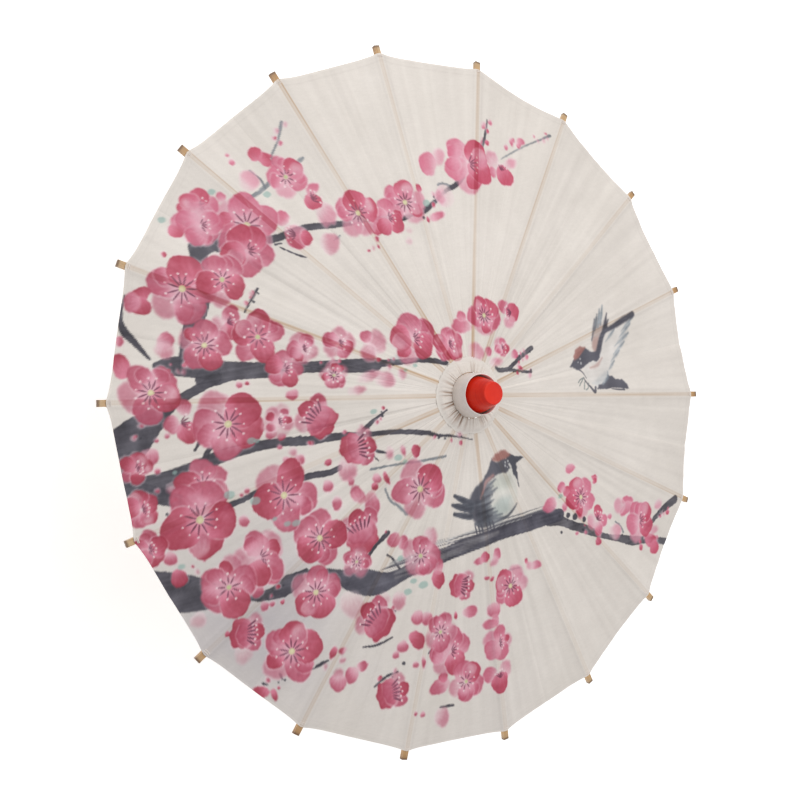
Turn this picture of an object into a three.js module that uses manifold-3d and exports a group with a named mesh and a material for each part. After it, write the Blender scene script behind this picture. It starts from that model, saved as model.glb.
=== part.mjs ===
// Oil paper umbrella, standing open: a bamboo shaft with a slotted head and a slotted runner,
// eighteen ribs and eighteen struts, a paper canopy, and a turned cap and handle.
// Millimetres, +Z up along the shaft, origin at the middle of the handle's flat foot.
import * as THREE from "three";
import { mergeVertices } from "three/addons/utils/BufferGeometryUtils.js";
import Module from "manifold-3d";

const wasm = await Module();
wasm.setup();

// ---- Driving dimensions ----
const GAP = 0.3; // running and resting clearance between pieces
const RIB_COUNT = 18;
const PITCH = (2 * Math.PI) / RIB_COUNT;
const PITCH_DEGREES = 360 / RIB_COUNT;
const TOTAL_HEIGHT = 400;
const CANOPY_RADIUS = 290; // axis to a corner of the paper, over a rib
const RIB_TIP_RADIUS = 298.4; // axis to the end of a rib
const SLOPE = THREE.MathUtils.degToRad(8); // fall of the open ribs below level
const PAPER = 0.8;
const PAPER_BORE = 16.8; // inner edge of the canopy, round the head's neck
const PATCH_INNER = 18.9;
const PATCH_OUTER = 32;

const PIVOT_RADIUS = 15; // rib pivots in the head and strut pivots in the runner
const PIVOT_Z = TOTAL_HEIGHT - 34.5;
const STRUT_LENGTH = 130; // strut pin to runner pivot, and rib pivot to strut pin
const RUNNER_Z = PIVOT_Z - 2 * STRUT_LENGTH * Math.sin(SLOPE);

const SHAFT_RADIUS = 6;
const SHAFT_FOOT = 30;
const SHAFT_SIDES = 24;
const BORE_RADIUS = SHAFT_RADIUS + GAP;

const HUB_RADIUS = 18; // slotted rim of the head and of the runner
const SLOT_WIDTH = 2.3;
const SLOT_FLOOR = 12.3; // radius that the slots are cut in to
const WIRE_RADIUS = 0.5;
const WIRE_HOLE = WIRE_RADIUS + GAP;
const HUB_SIDES = 2 * RIB_COUNT;
const THROUGH = 40; // length of a cutter that passes right through a hub

const RIB_WIDTH = 5;
const RIB_TOP = 2; // rib above and below its pivot line
const RIB_BOTTOM = 2.2;
const RIB_TONGUE = SLOT_WIDTH - 2 * GAP;
const RIB_LENGTH = (RIB_TIP_RADIUS - PIVOT_RADIUS) / Math.cos(SLOPE);
const FORK_SLOT = 2.7;
const FORK_INWARD = 16; // the fork slot's reach on each side of the strut pin
const FORK_OUTWARD = 41;
const TONGUE_LENGTH = 12; // the rib is thin this far out from its pivot
const FULL_WIDTH_AT = 60;
const TIP_DEPTH = 1.6; // rib below its pivot line at the tip

const STRUT_WIDTH = 4;
const STRUT_HALF_DEPTH = 1.8;
const STRUT_PIN_RADIUS = 0.9;
const STRUT_FULL_UNTIL = 96; // the strut narrows between these two, towards the runner
const STRUT_THIN_FROM = 103;
const LIP_DEPTH = 2.3; // the lip under the runner's wire, below the strut's centre line
const LIP_START = 110;
const LIP_FULL = 118;
const LIP_STEP = 113;
const LIP_CHAMFER = 0.6;
const CUT = 10; // reach of a cutter or blank wider and deeper than a rib

const COLLAR_TOP = PIVOT_Z + 19;
const COLLAR_FOOT_RADIUS = 18.4;
const COLLAR_TOP_RADIUS = 16.9;
const NECK_TOP = PIVOT_Z + 12.5;
const NECK_RADIUS = 15.6;
const PEG_Z = PIVOT_Z + 8;
const PEG_RADIUS = 1.2;
const PEG_LENGTH = 30;
const SOCKET_DEPTH = 12; // the cap's bore over the shaft's end
const SHAFT_TOP = NECK_TOP + SOCKET_DEPTH - 0.5;
const CAP_FOOT_RADIUS = 14.8;
const CAP_TOP_RADIUS = 9.2;
const HANDLE_LENGTH = 72;
const HANDLE_RADIUS = 11;
const HANDLE_WAIST = 9.2;

const RUNNER_GRIP = 26; // runner below its pivot ring
const RUNNER_HALF = 5; // slotted rim above and below the pivot ring
const GRIP_RADIUS = 10.6;
const GRIP_WAIST = 9.4;
const CATCH_PIN_Z = RUNNER_Z - RUNNER_GRIP - 31.5;
const CATCH_Y = -2.2; // catch pin's distance from the axis
const CATCH_PIN_RADIUS = 0.8;
const CATCH_PIN_LENGTH = 10.6;
const CATCH_EYE = CATCH_PIN_RADIUS + GAP;
const CATCH_TAIL = 1.6; // radius of the wedge round its pin
const CATCH_WIDTH = 2.4;
const CATCH_REACH = 6.2; // pin to the outer face of the nose
const NOSE_TOP = 1.8; // flat on top of the nose
const NOSE_SIDE = 3.5;
const POCKET_WIDTH = 3;
const POCKET_DEPTH = 7.5;

// ---- Materials ----
function material(color, roughness, metalness = 0) {
  return new THREE.MeshStandardMaterial({ color, roughness, metalness });
}
const BAMBOO = () => material(0xcfa56b, 0.5);
const DARK_BAMBOO = () => material(0xb98a52, 0.5);
const TURNED_WOOD = () => material(0x9a6436, 0.45);
const OILED_PAPER = () => material(0xe5dccf, 0.55);
const RED_LACQUER = () => material(0xc81e14, 0.25);
const STEEL = () => material(0x8c8c90, 0.35, 1);

// ---- Solids ----
// A closed geometry as a solid that can be cut and joined.
function solid(geometry) {
  const bare = geometry.clone();
  bare.deleteAttribute("normal");
  bare.deleteAttribute("uv");
  const merged = mergeVertices(bare, 1e-4);
  const corners = [];
  for (let i = 0; i < merged.index.count; i += 3) {
    const [a, b, c] = merged.index.array.slice(i, i + 3);
    if (a !== b && b !== c && c !== a) corners.push(a, b, c);
  }
  const mesh = new wasm.Mesh({
    numProp: 3,
    vertProperties: merged.attributes.position.array,
    triVerts: new Uint32Array(corners),
  });
  return new wasm.Manifold(mesh);
}

function geometryOf(made) {
  const mesh = made.getMesh();
  const geometry = new THREE.BufferGeometry();
  geometry.setAttribute("position", new THREE.BufferAttribute(mesh.vertProperties, 3));
  geometry.setIndex(new THREE.BufferAttribute(mesh.triVerts, 1));
  geometry.computeVertexNormals();
  return geometry;
}

// A turned solid: [radius, z] points, up the outside first, closed on the axis or on itself.
function turned(points, segments) {
  const profile = points.map(([radius, z]) => new THREE.Vector2(radius, z));
  const lathe = new THREE.LatheGeometry(profile, segments, Math.PI / 2);
  return solid(lathe.rotateX(Math.PI / 2));
}

// A turned solid whose profile is a closed loop round a bore.
function turnedRing(points, segments) {
  return turned([...points, points[0]], segments);
}

function box(width, depth, height, x, y, z) {
  return solid(new THREE.BoxGeometry(width, depth, height).translate(x, y, z));
}

// A round bar along Y, centred on x and z.
function barAlongY(radius, length, x, z, sides = 8) {
  return solid(new THREE.CylinderGeometry(radius, radius, length, sides).translate(x, 0, z));
}

function ring(radius, tube, z) {
  return solid(new THREE.TorusGeometry(radius, tube, 6, HUB_SIDES).translate(0, 0, z));
}

// An outline in the XY plane, extruded to stand between two heights.
function slab(outline, low, high) {
  const shape = new THREE.Shape(outline.map(([x, y]) => new THREE.Vector2(x, y)));
  const geometry = new THREE.ExtrudeGeometry(shape, { depth: high - low, bevelEnabled: false });
  return solid(geometry.translate(0, 0, low));
}

// An outline in the XZ plane, extruded to a width centred on Y.
function sideSlab(outline, width) {
  const shape = new THREE.Shape(outline.map(([x, z]) => new THREE.Vector2(x, z)));
  const geometry = new THREE.ExtrudeGeometry(shape, { depth: width, bevelEnabled: false });
  return solid(geometry.translate(0, 0, -width / 2).rotateX(Math.PI / 2));
}

// Points of an arc in a plane, from one angle to another in degrees.
function arc(x, z, radius, from, to, steps) {
  return Array.from({ length: steps + 1 }, (_, i) => {
    const angle = THREE.MathUtils.degToRad(from + ((to - from) * i) / steps);
    return [x + radius * Math.cos(angle), z + radius * Math.sin(angle)];
  });
}

// A plan outline that is the same on both sides of the X axis.
function bothSides(half) {
  const mirrored = half.map(([x, y]) => [x, -y]);
  return [...mirrored, ...half.toReversed()];
}

const umbrella = new THREE.Group();

function place(name, made, finish, parent = umbrella) {
  const mesh = new THREE.Mesh(geometryOf(made), finish);
  mesh.name = name;
  parent.add(mesh);
  return mesh;
}

// ---- Head and runner ----
// Cuts the ring of slots for the ribs or struts, and the channel for their hinge wire.
function cutSlots(hub, low, high, wireZ) {
  const reach = HUB_RADIUS + 2 - SLOT_FLOOR;
  const slot = box(reach, SLOT_WIDTH, high - low, SLOT_FLOOR + reach / 2, 0, (low + high) / 2);
  const slots = Array.from({ length: RIB_COUNT }, (_, i) =>
    slot.rotate([0, 0, i * PITCH_DEGREES]),
  );
  return hub.subtract(wasm.Manifold.union(slots)).subtract(ring(PIVOT_RADIUS, WIRE_HOLE, wireZ));
}

function head() {
  const foot = PIVOT_Z - 8;
  const shoulder = PIVOT_Z + 1.4;
  const profile = [
    [BORE_RADIUS, foot],
    [HUB_RADIUS - 1, foot],
    [HUB_RADIUS, foot + 1],
    [HUB_RADIUS, shoulder],
    [NECK_RADIUS + 0.8, shoulder],
    [NECK_RADIUS, NECK_TOP],
    [BORE_RADIUS, NECK_TOP],
  ];
  const pegHole = crossPin(PEG_RADIUS + GAP, THROUGH, 0, PEG_Z);
  const slotTop = PIVOT_Z + RIB_TOP + 0.5;
  return cutSlots(turnedRing(profile, HUB_SIDES), foot - 1, slotTop, PIVOT_Z).subtract(pegHole);
}

function runner() {
  const top = RUNNER_Z + RUNNER_HALF;
  const step = RUNNER_Z - RUNNER_HALF;
  const foot = RUNNER_Z - RUNNER_GRIP;
  const profile = [
    [BORE_RADIUS, foot],
    [GRIP_RADIUS - 0.6, foot],
    [GRIP_RADIUS, foot + 1],
    [GRIP_RADIUS, foot + 4],
    [GRIP_WAIST, foot + 9],
    [GRIP_WAIST + 0.4, step - 4],
    [11.8, step],
    [HUB_RADIUS - 0.8, step],
    [HUB_RADIUS, step + 0.8],
    [HUB_RADIUS, top - 1],
    [HUB_RADIUS - 1, top],
    [BORE_RADIUS, top],
  ];
  return cutSlots(turnedRing(profile, HUB_SIDES), step - 1, top + 1, RUNNER_Z);
}

// ---- Ribs and struts ----
// A rib in its own frame: pivot at the origin, +X out to the tip, +Z towards the paper.
function rib() {
  const halfPlan = [
    [-RIB_BOTTOM, RIB_TONGUE / 2],
    [TONGUE_LENGTH, RIB_TONGUE / 2],
    [FULL_WIDTH_AT, RIB_WIDTH / 2],
    [RIB_LENGTH, RIB_WIDTH / 2],
  ];
  const endRadius = (RIB_TOP + RIB_BOTTOM) / 2;
  const side = [
    ...arc(0, RIB_TOP - endRadius, endRadius, 90, 270, 6),
    [STRUT_LENGTH + FORK_OUTWARD + 10, -RIB_BOTTOM],
    [RIB_LENGTH, -TIP_DEPTH],
    [RIB_LENGTH, RIB_TOP],
  ];
  const blank = slab(bothSides(halfPlan), -CUT / 2, CUT / 2).intersect(sideSlab(side, CUT));
  const forkMiddle = STRUT_LENGTH + (FORK_OUTWARD - FORK_INWARD) / 2;
  const fork = box(FORK_INWARD + FORK_OUTWARD, FORK_SLOT, CUT, forkMiddle, 0, 0);
  const pinHole = barAlongY(STRUT_PIN_RADIUS + GAP, CUT, STRUT_LENGTH, 0);
  const wireHole = barAlongY(WIRE_HOLE, CUT, 0, 0);
  return blank.subtract(fork).subtract(pinHole).subtract(wireHole);
}

// A strut in its own frame: pin at the origin, +X in to the runner, +Z up when open.
// Its last stretch is a lip that passes under the runner's wire.
function strut() {
  const forkTongue = FORK_SLOT - 2 * GAP;
  const end = STRUT_LENGTH + STRUT_HALF_DEPTH;
  const halfPlan = [
    [-STRUT_HALF_DEPTH, forkTongue / 2],
    [FORK_OUTWARD - 2, forkTongue / 2],
    [FORK_OUTWARD + 8, STRUT_WIDTH / 2],
    [STRUT_FULL_UNTIL, STRUT_WIDTH / 2],
    [STRUT_THIN_FROM, RIB_TONGUE / 2],
    [end, RIB_TONGUE / 2],
  ];
  const lipTop = -WIRE_RADIUS - GAP;
  const side = [
    ...arc(0, 0, STRUT_HALF_DEPTH, 90, 270, 6),
    [LIP_START, -STRUT_HALF_DEPTH],
    [LIP_FULL, -LIP_DEPTH],
    [end - LIP_CHAMFER, -LIP_DEPTH],
    [end, lipTop - LIP_CHAMFER],
    [end, lipTop],
    [LIP_STEP + 2, lipTop],
    [LIP_STEP, STRUT_HALF_DEPTH],
  ];
  const blank = slab(bothSides(halfPlan), -CUT / 2, CUT / 2).intersect(sideSlab(side, CUT));
  return blank.add(barAlongY(STRUT_PIN_RADIUS, RIB_WIDTH, 0, 0));
}

// ---- Paper ----
// Height of the canopy's upper face over a rib.
function canopyZ(radius) {
  const rise = (RIB_TOP + GAP + PAPER) / Math.cos(SLOPE);
  return PIVOT_Z + rise - (radius - PIVOT_RADIUS) * Math.tan(SLOPE);
}

function paperRing(inner, outer, lift, segments) {
  const drop = PAPER / Math.cos(SLOPE);
  const profile = [
    [inner, canopyZ(inner) + lift - drop],
    [outer, canopyZ(outer) + lift - drop],
    [outer, canopyZ(outer) + lift],
    [inner, canopyZ(inner) + lift],
  ];
  return turnedRing(profile, segments);
}

function canopy() {
  return paperRing(PAPER_BORE, CANOPY_RADIUS, 0, RIB_COUNT);
}

// The pleated patch that covers the ribs' roots, lying on the canopy.
function gatherRing() {
  return paperRing(PATCH_INNER, PATCH_OUTER, PAPER + 2 * GAP, HUB_SIDES);
}

function headCollar() {
  const foot = canopyZ(PAPER_BORE) + GAP;
  const profile = [
    [COLLAR_FOOT_RADIUS - 1.5, foot],
    [COLLAR_FOOT_RADIUS, foot],
    [COLLAR_TOP_RADIUS, COLLAR_TOP],
    [COLLAR_TOP_RADIUS - PAPER, COLLAR_TOP],
  ];
  return turnedRing(profile, HUB_SIDES);
}

// ---- Turned pieces ----
function topCap() {
  const foot = NECK_TOP + GAP;
  const socketTop = foot + SOCKET_DEPTH;
  const profile = [
    [BORE_RADIUS, foot],
    [CAP_FOOT_RADIUS - 0.6, foot],
    [CAP_FOOT_RADIUS, foot + 0.8],
    [CAP_FOOT_RADIUS - 0.2, foot + 2.4],
    [CAP_TOP_RADIUS, TOTAL_HEIGHT - 0.5],
    [CAP_TOP_RADIUS - 0.5, TOTAL_HEIGHT],
    [0, TOTAL_HEIGHT],
    [0, socketTop],
    [BORE_RADIUS, socketTop],
  ];
  return turnedRing(profile, HUB_SIDES);
}

function shaft() {
  const profile = [
    [0, SHAFT_FOOT],
    [SHAFT_RADIUS, SHAFT_FOOT],
    [SHAFT_RADIUS, SHAFT_TOP],
    [0, SHAFT_TOP],
  ];
  const pocketLow = CATCH_PIN_Z - CATCH_TAIL - 0.9;
  const pocketHigh = RUNNER_Z - RUNNER_GRIP + 1;
  const pocketMiddle = (pocketLow + pocketHigh) / 2;
  const pocketY = -SHAFT_RADIUS - 0.5 + POCKET_DEPTH / 2;
  const pocket = box(POCKET_WIDTH, POCKET_DEPTH, pocketHigh - pocketLow, 0, pocketY, pocketMiddle);
  return turned(profile, SHAFT_SIDES)
    .subtract(pocket)
    .subtract(crossPin(CATCH_PIN_RADIUS + GAP, THROUGH, CATCH_Y, CATCH_PIN_Z))
    .subtract(crossPin(PEG_RADIUS + GAP, THROUGH, 0, PEG_Z));
}

// A round pin along X.
function crossPin(radius, length, y, z) {
  const bar = new THREE.CylinderGeometry(radius, radius, length, 12).rotateZ(Math.PI / 2);
  return solid(bar.translate(0, y, z));
}

function handle() {
  const profile = [
    [0, 0],
    [HANDLE_RADIUS - 2, 0],
    [HANDLE_RADIUS - 0.5, 1.5],
    [HANDLE_RADIUS, 8],
    [HANDLE_WAIST, 24],
    [HANDLE_WAIST + 0.2, 42],
    [HANDLE_RADIUS - 0.4, 60],
    [HANDLE_RADIUS - 0.8, 68],
    [HANDLE_WAIST - 0.6, HANDLE_LENGTH],
    [BORE_RADIUS, HANDLE_LENGTH],
    [BORE_RADIUS, SHAFT_FOOT - GAP],
    [0, SHAFT_FOOT - GAP],
  ];
  return turned(profile, SHAFT_SIDES);
}

// A sprung wedge in the shaft's pocket, whose nose stands under the open runner.
function catchWedge() {
  const nose = RUNNER_Z - RUNNER_GRIP - GAP - CATCH_PIN_Z;
  const outline = [
    ...arc(0, 0, CATCH_TAIL, 180, 360, 6),
    [CATCH_REACH, nose - NOSE_SIDE],
    [CATCH_REACH, nose],
    [CATCH_REACH - NOSE_TOP, nose],
  ];
  const blank = sideSlab(outline, CATCH_WIDTH).subtract(barAlongY(CATCH_EYE, CUT, 0, 0));
  return blank.rotate([0, 0, -90]).translate([0, CATCH_Y, CATCH_PIN_Z]);
}

// ---- Assembly ----
place("shaft", shaft(), BAMBOO());
place("head", head(), TURNED_WOOD());
place("head_peg", crossPin(PEG_RADIUS, PEG_LENGTH, 0, PEG_Z), DARK_BAMBOO());
place("head_wire", ring(PIVOT_RADIUS, WIRE_RADIUS, PIVOT_Z), STEEL());
place("head_collar", headCollar(), OILED_PAPER());
place("top_cap", topCap(), RED_LACQUER());
place("canopy", canopy(), OILED_PAPER());
place("gather_ring", gatherRing(), OILED_PAPER());
place("handle", handle(), TURNED_WOOD());
place("catch_pin", crossPin(CATCH_PIN_RADIUS, CATCH_PIN_LENGTH, CATCH_Y, CATCH_PIN_Z), STEEL());
place("catch", catchWedge(), STEEL());
place("runner", runner(), TURNED_WOOD());
place("runner_wire", ring(PIVOT_RADIUS, WIRE_RADIUS, RUNNER_Z), STEEL());

const ribSolid = rib();
const strutSolid = strut();
for (let i = 0; i < RIB_COUNT; i += 1) {
  const number = String(i + 1).padStart(2, "0");
  const spoke = new THREE.Group();
  spoke.rotation.z = i * PITCH;
  umbrella.add(spoke);

  const ribFrame = new THREE.Group();
  ribFrame.position.set(PIVOT_RADIUS, 0, PIVOT_Z);
  ribFrame.rotation.y = SLOPE;
  spoke.add(ribFrame);
  place("rib_" + number, ribSolid, BAMBOO(), ribFrame);

  const strutFrame = new THREE.Group();
  strutFrame.position.set(STRUT_LENGTH, 0, 0);
  strutFrame.rotation.y = Math.PI - 2 * SLOPE;
  ribFrame.add(strutFrame);
  const piece = place("strut_" + number, strutSolid, DARK_BAMBOO(), strutFrame);
  piece.rotation.x = Math.PI;
}

export default umbrella;
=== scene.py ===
# Oil paper umbrella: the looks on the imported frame. Pieces, lights and camera are in metres in the
# part's own frame. The paper, its painting and the turned profiles are laid out in millimetres.
import math

import bpy
import numpy as np
from mathutils import Matrix, Vector


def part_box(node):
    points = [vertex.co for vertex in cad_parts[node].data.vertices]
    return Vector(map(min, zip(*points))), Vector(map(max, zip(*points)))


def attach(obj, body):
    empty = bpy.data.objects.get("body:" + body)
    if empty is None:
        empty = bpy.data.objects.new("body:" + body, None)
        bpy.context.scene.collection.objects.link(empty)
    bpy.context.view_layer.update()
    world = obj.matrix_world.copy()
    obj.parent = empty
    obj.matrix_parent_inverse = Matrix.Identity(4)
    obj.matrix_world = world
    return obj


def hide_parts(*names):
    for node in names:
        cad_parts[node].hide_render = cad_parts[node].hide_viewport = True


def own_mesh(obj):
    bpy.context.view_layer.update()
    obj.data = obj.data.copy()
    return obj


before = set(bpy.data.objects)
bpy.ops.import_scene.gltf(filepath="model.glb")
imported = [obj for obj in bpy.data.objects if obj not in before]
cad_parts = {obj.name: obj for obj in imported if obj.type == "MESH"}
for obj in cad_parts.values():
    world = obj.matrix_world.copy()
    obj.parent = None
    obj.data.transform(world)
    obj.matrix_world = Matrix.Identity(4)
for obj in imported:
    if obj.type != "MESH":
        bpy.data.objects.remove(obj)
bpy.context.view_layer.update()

MM = 0.001
SEED = 20

# ---- Dimensions, in millimetres ----
RIB_COUNT = 18
PITCH = 2 * math.pi / RIB_COUNT
HALF_TAN = math.tan(PITCH / 2)
SLOPE = math.radians(8)  # fall of the open ribs
PIVOT_RADIUS = 15.0
PIVOT_Z = 365.5
RIB_TOP = 2.0  # upper face of a rib above its pivot line
PAPER_RADIUS = 290.0
RIB_TIP = 298.4
SHAFT_JOINTS = (118, 205, 278)  # heights of the bamboo's joints
BORE_RADIUS = 6.3  # of the holes that the shaft's ends stand in
PAPER_LIFT = 0.7  # upper face of the paper above the ribs
PAPER_THICKNESS = 0.42
PAPER_START = 24.2  # inner edge of the paper, under the pleated patch
STRIP_HALF = 2.6  # half the width of the paper glued to each rib


# ---- Arrays ----
def ease(low, high, value):
    """A smooth step from 0 at low to 1 at high."""
    t = np.clip((value - low) / (high - low), 0.0, 1.0)
    return t * t * (3 - 2 * t)


def soft_noise(shape, reach, seed):
    """Smooth noise with unit spread that repeats at its edges; reach is its size along each axis."""
    rows = np.fft.fftfreq(shape[0])[:, None] * reach[0]
    columns = np.fft.rfftfreq(shape[1])[None, :] * reach[1]
    white = np.random.default_rng(SEED + seed).standard_normal(shape)
    blur = np.exp(-2 * np.pi**2 * (rows**2 + columns**2) / 4)
    noise = np.fft.irfft2(np.fft.rfft2(white) * blur, s=shape)
    return (noise / noise.std()).astype(np.float32)


def sampled(grid, column, row):
    """A grid read between its points."""
    column = np.clip(column, 0, grid.shape[1] - 1.001)
    row = np.clip(row, 0, grid.shape[0] - 1.001)
    c, r = column.astype(int), row.astype(int)
    fc, fr = column - c, row - r
    if grid.ndim == 3:
        fc, fr = fc[..., None], fr[..., None]
    upper = grid[r, c] * (1 - fc) + grid[r, c + 1] * fc
    lower = grid[r + 1, c] * (1 - fc) + grid[r + 1, c + 1] * fc
    return upper * (1 - fr) + lower * fr


def direction(degrees):
    """A unit step on the plan."""
    return math.cos(math.radians(degrees)), math.sin(math.radians(degrees))


def linear(colour):
    """A colour of 0 to 255, as a monitor shows it, in linear light."""
    c = np.asarray(colour, float) / 255
    return np.where(c <= 0.04045, c / 12.92, ((c + 0.055) / 1.055) ** 2.4)


# ---- Painting ----
# The canvas is a plan of the paper, in millimetres from the shaft. Left, right, upper and lower are
# meant as in the photo, where x points down and y to the right.
REACH = 298.0
STEP = 0.4
CURVE_STEP = 2.0  # between the points of a painted line
SIDE = int(2 * REACH / STEP) + 1
PAPER = (226, 218, 210)
HALO = (238, 212, 218)
INK = (77, 75, 87)
DEEP_INK = (60, 58, 68)
WET_INK = (66, 63, 73)  # of the boughs on the left
WORN_INK = (88, 85, 92)  # of the boughs on the right
WORN_FROM = 60  # plan y that they start past
TWIG_GREY = (118, 124, 132)
TEAL = (150, 180, 172)
PLUM = (112, 56, 80)
ANTHER = (242, 220, 222)
THROAT = (232, 178, 192)
CREAM = (212, 204, 160)
PALE_CREAM = (232, 226, 186)
LEAF_GREEN = (196, 202, 150)
WASH_AND_SHADE_GREY = np.array([27, 26, 19], np.float32)  # what the painting's grey wash and the painted shade take from the paper's colour
TONES = {  # a petal's outer colour, its inner one, how strong it is and how far its edge runs
    "d": ((194, 72, 98), (218, 124, 148), 0.95, 0.7),
    "m": ((208, 104, 131), (229, 164, 182), 0.92, 1.0),
    "l": ((217, 138, 160), (232, 194, 203), 0.8, 2.0),
    "v": ((226, 182, 192), (230, 206, 207), 0.7, 2.8),
}
DEEP_DYE = np.array([0.11, 0.18, 0.17])  # what deep dye takes from a petal's outer colour
THIN_DYE = 0.14  # how far thin dye takes it to the inner one
PALEST_FIRST = "vlmd"
OVERLAID = {"v": "m", "l": "d", "m": "m", "d": "l"}  # the tone of a small petal laid on another
line = np.linspace(-REACH, REACH, SIDE, dtype=np.float32)
canvas = np.empty((SIDE, SIDE, 3), np.float32)
canvas[:] = PAPER
SQUARE = (SIDE, SIDE)
ragged = soft_noise(SQUARE, (4, 4), 1)
mottle = soft_noise(SQUARE, (18, 18), 2)
bristle = soft_noise(SQUARE, (70, 2.2), 3)
cloud = soft_noise(SQUARE, (90, 90), 4)

# A grey wash over the lower left of the sheet, partly painted shade, with a pale round gap in it like a moon.
plan_x, plan_y = line[None, :], line[:, None]
# Painted shade: a broad darkening of the sheet's lower left, the side turned from the key light.
wash_and_shade = 0.15 * ease(90, 190, plan_x) * ease(90, -40, plan_y)
# The painting's own grey wash round the wide bough low on the left.
wash_and_shade = wash_and_shade + 0.95 * np.exp(-((plan_x - 128) ** 2 + (plan_y + 214) ** 2) / 5400)
from_moon = np.hypot(plan_x - 222, plan_y - 92)
wash_and_shade = wash_and_shade * (1 - 0.6 * ease(34, 24, from_moon)) * np.clip(1 + 0.22 * cloud + 0.06 * mottle, 0.4, 1.5)
canvas -= wash_and_shade[..., None] * WASH_AND_SHADE_GREY


class Window:
    """The part of the canvas round a shape, with the plan coordinates of its points."""

    def __init__(self, xs, ys, margin):
        bounds = []
        for values in (xs, ys):
            first = int((min(values) - margin + REACH) / STEP)
            last = int((max(values) + margin + REACH) / STEP) + 2
            bounds.append(slice(max(first, 0), min(last, SIDE)))
        self.at = (bounds[1], bounds[0])
        self.x, self.y = np.meshgrid(line[bounds[0]], line[bounds[1]])

    def lay(self, cover, colour):
        """Paint the colour on the canvas, as thick as cover says, from 0 to 1."""
        spot = canvas[self.at]
        spot += cover[..., None] * (np.asarray(colour, np.float32) - spot)

    def off_segment(self, ax, ay, bx, by):
        """How far along the segment each point lies, from 0 to 1, and how far away from it."""
        length = max((bx - ax) ** 2 + (by - ay) ** 2, 1e-6)
        t = np.clip(((self.x - ax) * (bx - ax) + (self.y - ay) * (by - ay)) / length, 0, 1)
        return t, np.hypot(self.x - ax - t * (bx - ax), self.y - ay - t * (by - ay))


def curve(points):
    """Points and widths along a smooth line through the given ones."""
    given = np.array(points, float)
    given = np.vstack([2 * given[0] - given[1], given, 2 * given[-1] - given[-2]])
    given[[0, -1], 2:] = np.maximum(given[[0, -1], 2:], 0.3)
    made = []
    for a, b, c, d in zip(given, given[1:], given[2:], given[3:]):
        for t in np.arange(0, 1, CURVE_STEP / max(np.hypot(*(c - b)[:2]), CURVE_STEP)):
            bend = 2 * b + (c - a) * t + (2 * a - 5 * b + 4 * c - d) * t**2
            made.append((bend + (3 * b - a - 3 * c + d) * t**3) / 2)
    return np.array([*made, given[-2]])


def depth_in(win, points):
    """How far inside a line with width each point of the window lies."""
    depth = np.full(win.x.shape, -9.0, np.float32)
    for (ax, ay, aw), (bx, by, bw) in zip(points, points[1:]):
        t, away = win.off_segment(ax, ay, bx, by)
        np.maximum(depth, (aw + t * (bw - aw)) / 2 - away, out=depth)
    return depth


def brush(points, ink, strength=0.95, fray=0.16, dry=0.0, soft=0.4):
    """A painted line of [x, y, width] points; dry breaks it into the bristles' streaks."""
    path = curve(points)
    win = Window(path[:, 0], path[:, 1], path[:, 2].max() / 2 + 3)
    depth = depth_in(win, path) + fray * ragged[win.at]
    cover = strength * ease(-soft, soft, depth)
    if dry:
        cover = cover * ease(dry - 0.9, dry + 0.5, bristle[win.at] + 0.25 * depth)
    shade = 7.0 * mottle[win.at] + 4.0 * bristle[win.at] + 2.0 * ragged[win.at]
    shade = shade - 8.0 * ease(2.0, 0.0, depth) + 5.0 * ease(2.0, 7.0, depth)  # a darker edge
    win.lay(cover, np.asarray(ink, float) + shade[..., None])


def petal(x, y, rx, ry=None, turn=0, tone="m", flow=90, frill=0.0):
    """A rounded wash, deep and frilled on the side that flow points to, in degrees."""
    ry = ry or rx
    deep, pale, strength, run = TONES[tone]
    deep, pale = np.array(deep, float), np.array(pale, float)
    rich = ease(100, -120, y) * ease(-190, -110, x)  # the dye is deepest on the lower left
    deep = deep * (1 - rich * DEEP_DYE) + (pale - deep) * THIN_DYE * (1 - rich)
    draw = np.random.default_rng(SEED + int(abs(x * 13 + y * 29)))
    lobes = draw.uniform(0, 2 * math.pi, 3)
    size = max(rx, ry)
    win = Window([x], [y], size * 1.1 + 4)
    c, s = direction(turn)
    across, up = win.x - x, win.y - y
    along, side = (across * c + up * s) / rx, (up * c - across * s) / ry
    angle = np.arctan2(side, along)
    rim = 1 + 0.05 * np.cos(2 * angle + lobes[0]) + 0.045 * np.cos(3 * angle + lobes[1])
    rim = rim + 0.02 * np.cos(5 * angle + lobes[2])
    if frill:
        away = angle - math.radians(flow - turn)
        rim = rim + frill * ease(-0.1, 0.5, np.cos(away)) * np.cos(7 * away)
    depth = (rim - np.hypot(along, side)) * min(rx, ry) + 0.16 * ragged[win.at]
    # A faint halo that the paper's grain breaks up.
    broken = np.clip(0.5 + 0.45 * mottle[win.at], 0.05, 1)
    win.lay(0.42 * broken * ease(-1.8, -0.5, depth) * ease(1.6, 0.0, depth), HALO)
    # The wash: pale at the root, deeper the way it flows, with fine veins.
    fx, fy = direction(flow)
    lean = (across * fx + up * fy) / size
    sideways = up * fx - across * fy
    vein = np.sin(np.arctan2(sideways, (lean + 1.5) * size) * 26 + 1.2 * mottle[win.at])
    mix = ease(-1.05, 0.7, lean + 0.2 * mottle[win.at] + 0.08 * vein)
    mix = mix + 0.25 * ease(1.8, 0.2, depth) * ease(-0.8, 0.6, lean) + 0.04 * ragged[win.at]
    mix = np.clip(mix, 0, 1.2)[..., None]
    thin = 1 - 0.35 * (run > 0.9) * ease(-0.1, -1.0, lean)
    win.lay(strength * thin * ease(-run, run, depth), pale + (deep - pale) * mix)


def blot(x, y, r, colour, strength, ry=None, soft=0.35):
    """A round or oval spot."""
    ry = ry or r
    win = Window([x], [y], max(r, ry) + 2)
    out = np.hypot((win.x - x) / r, (win.y - y) / ry)
    depth = (1 - out) * min(r, ry) + 0.12 * ragged[win.at]
    win.lay(strength * ease(-soft, soft, depth), colour)


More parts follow.
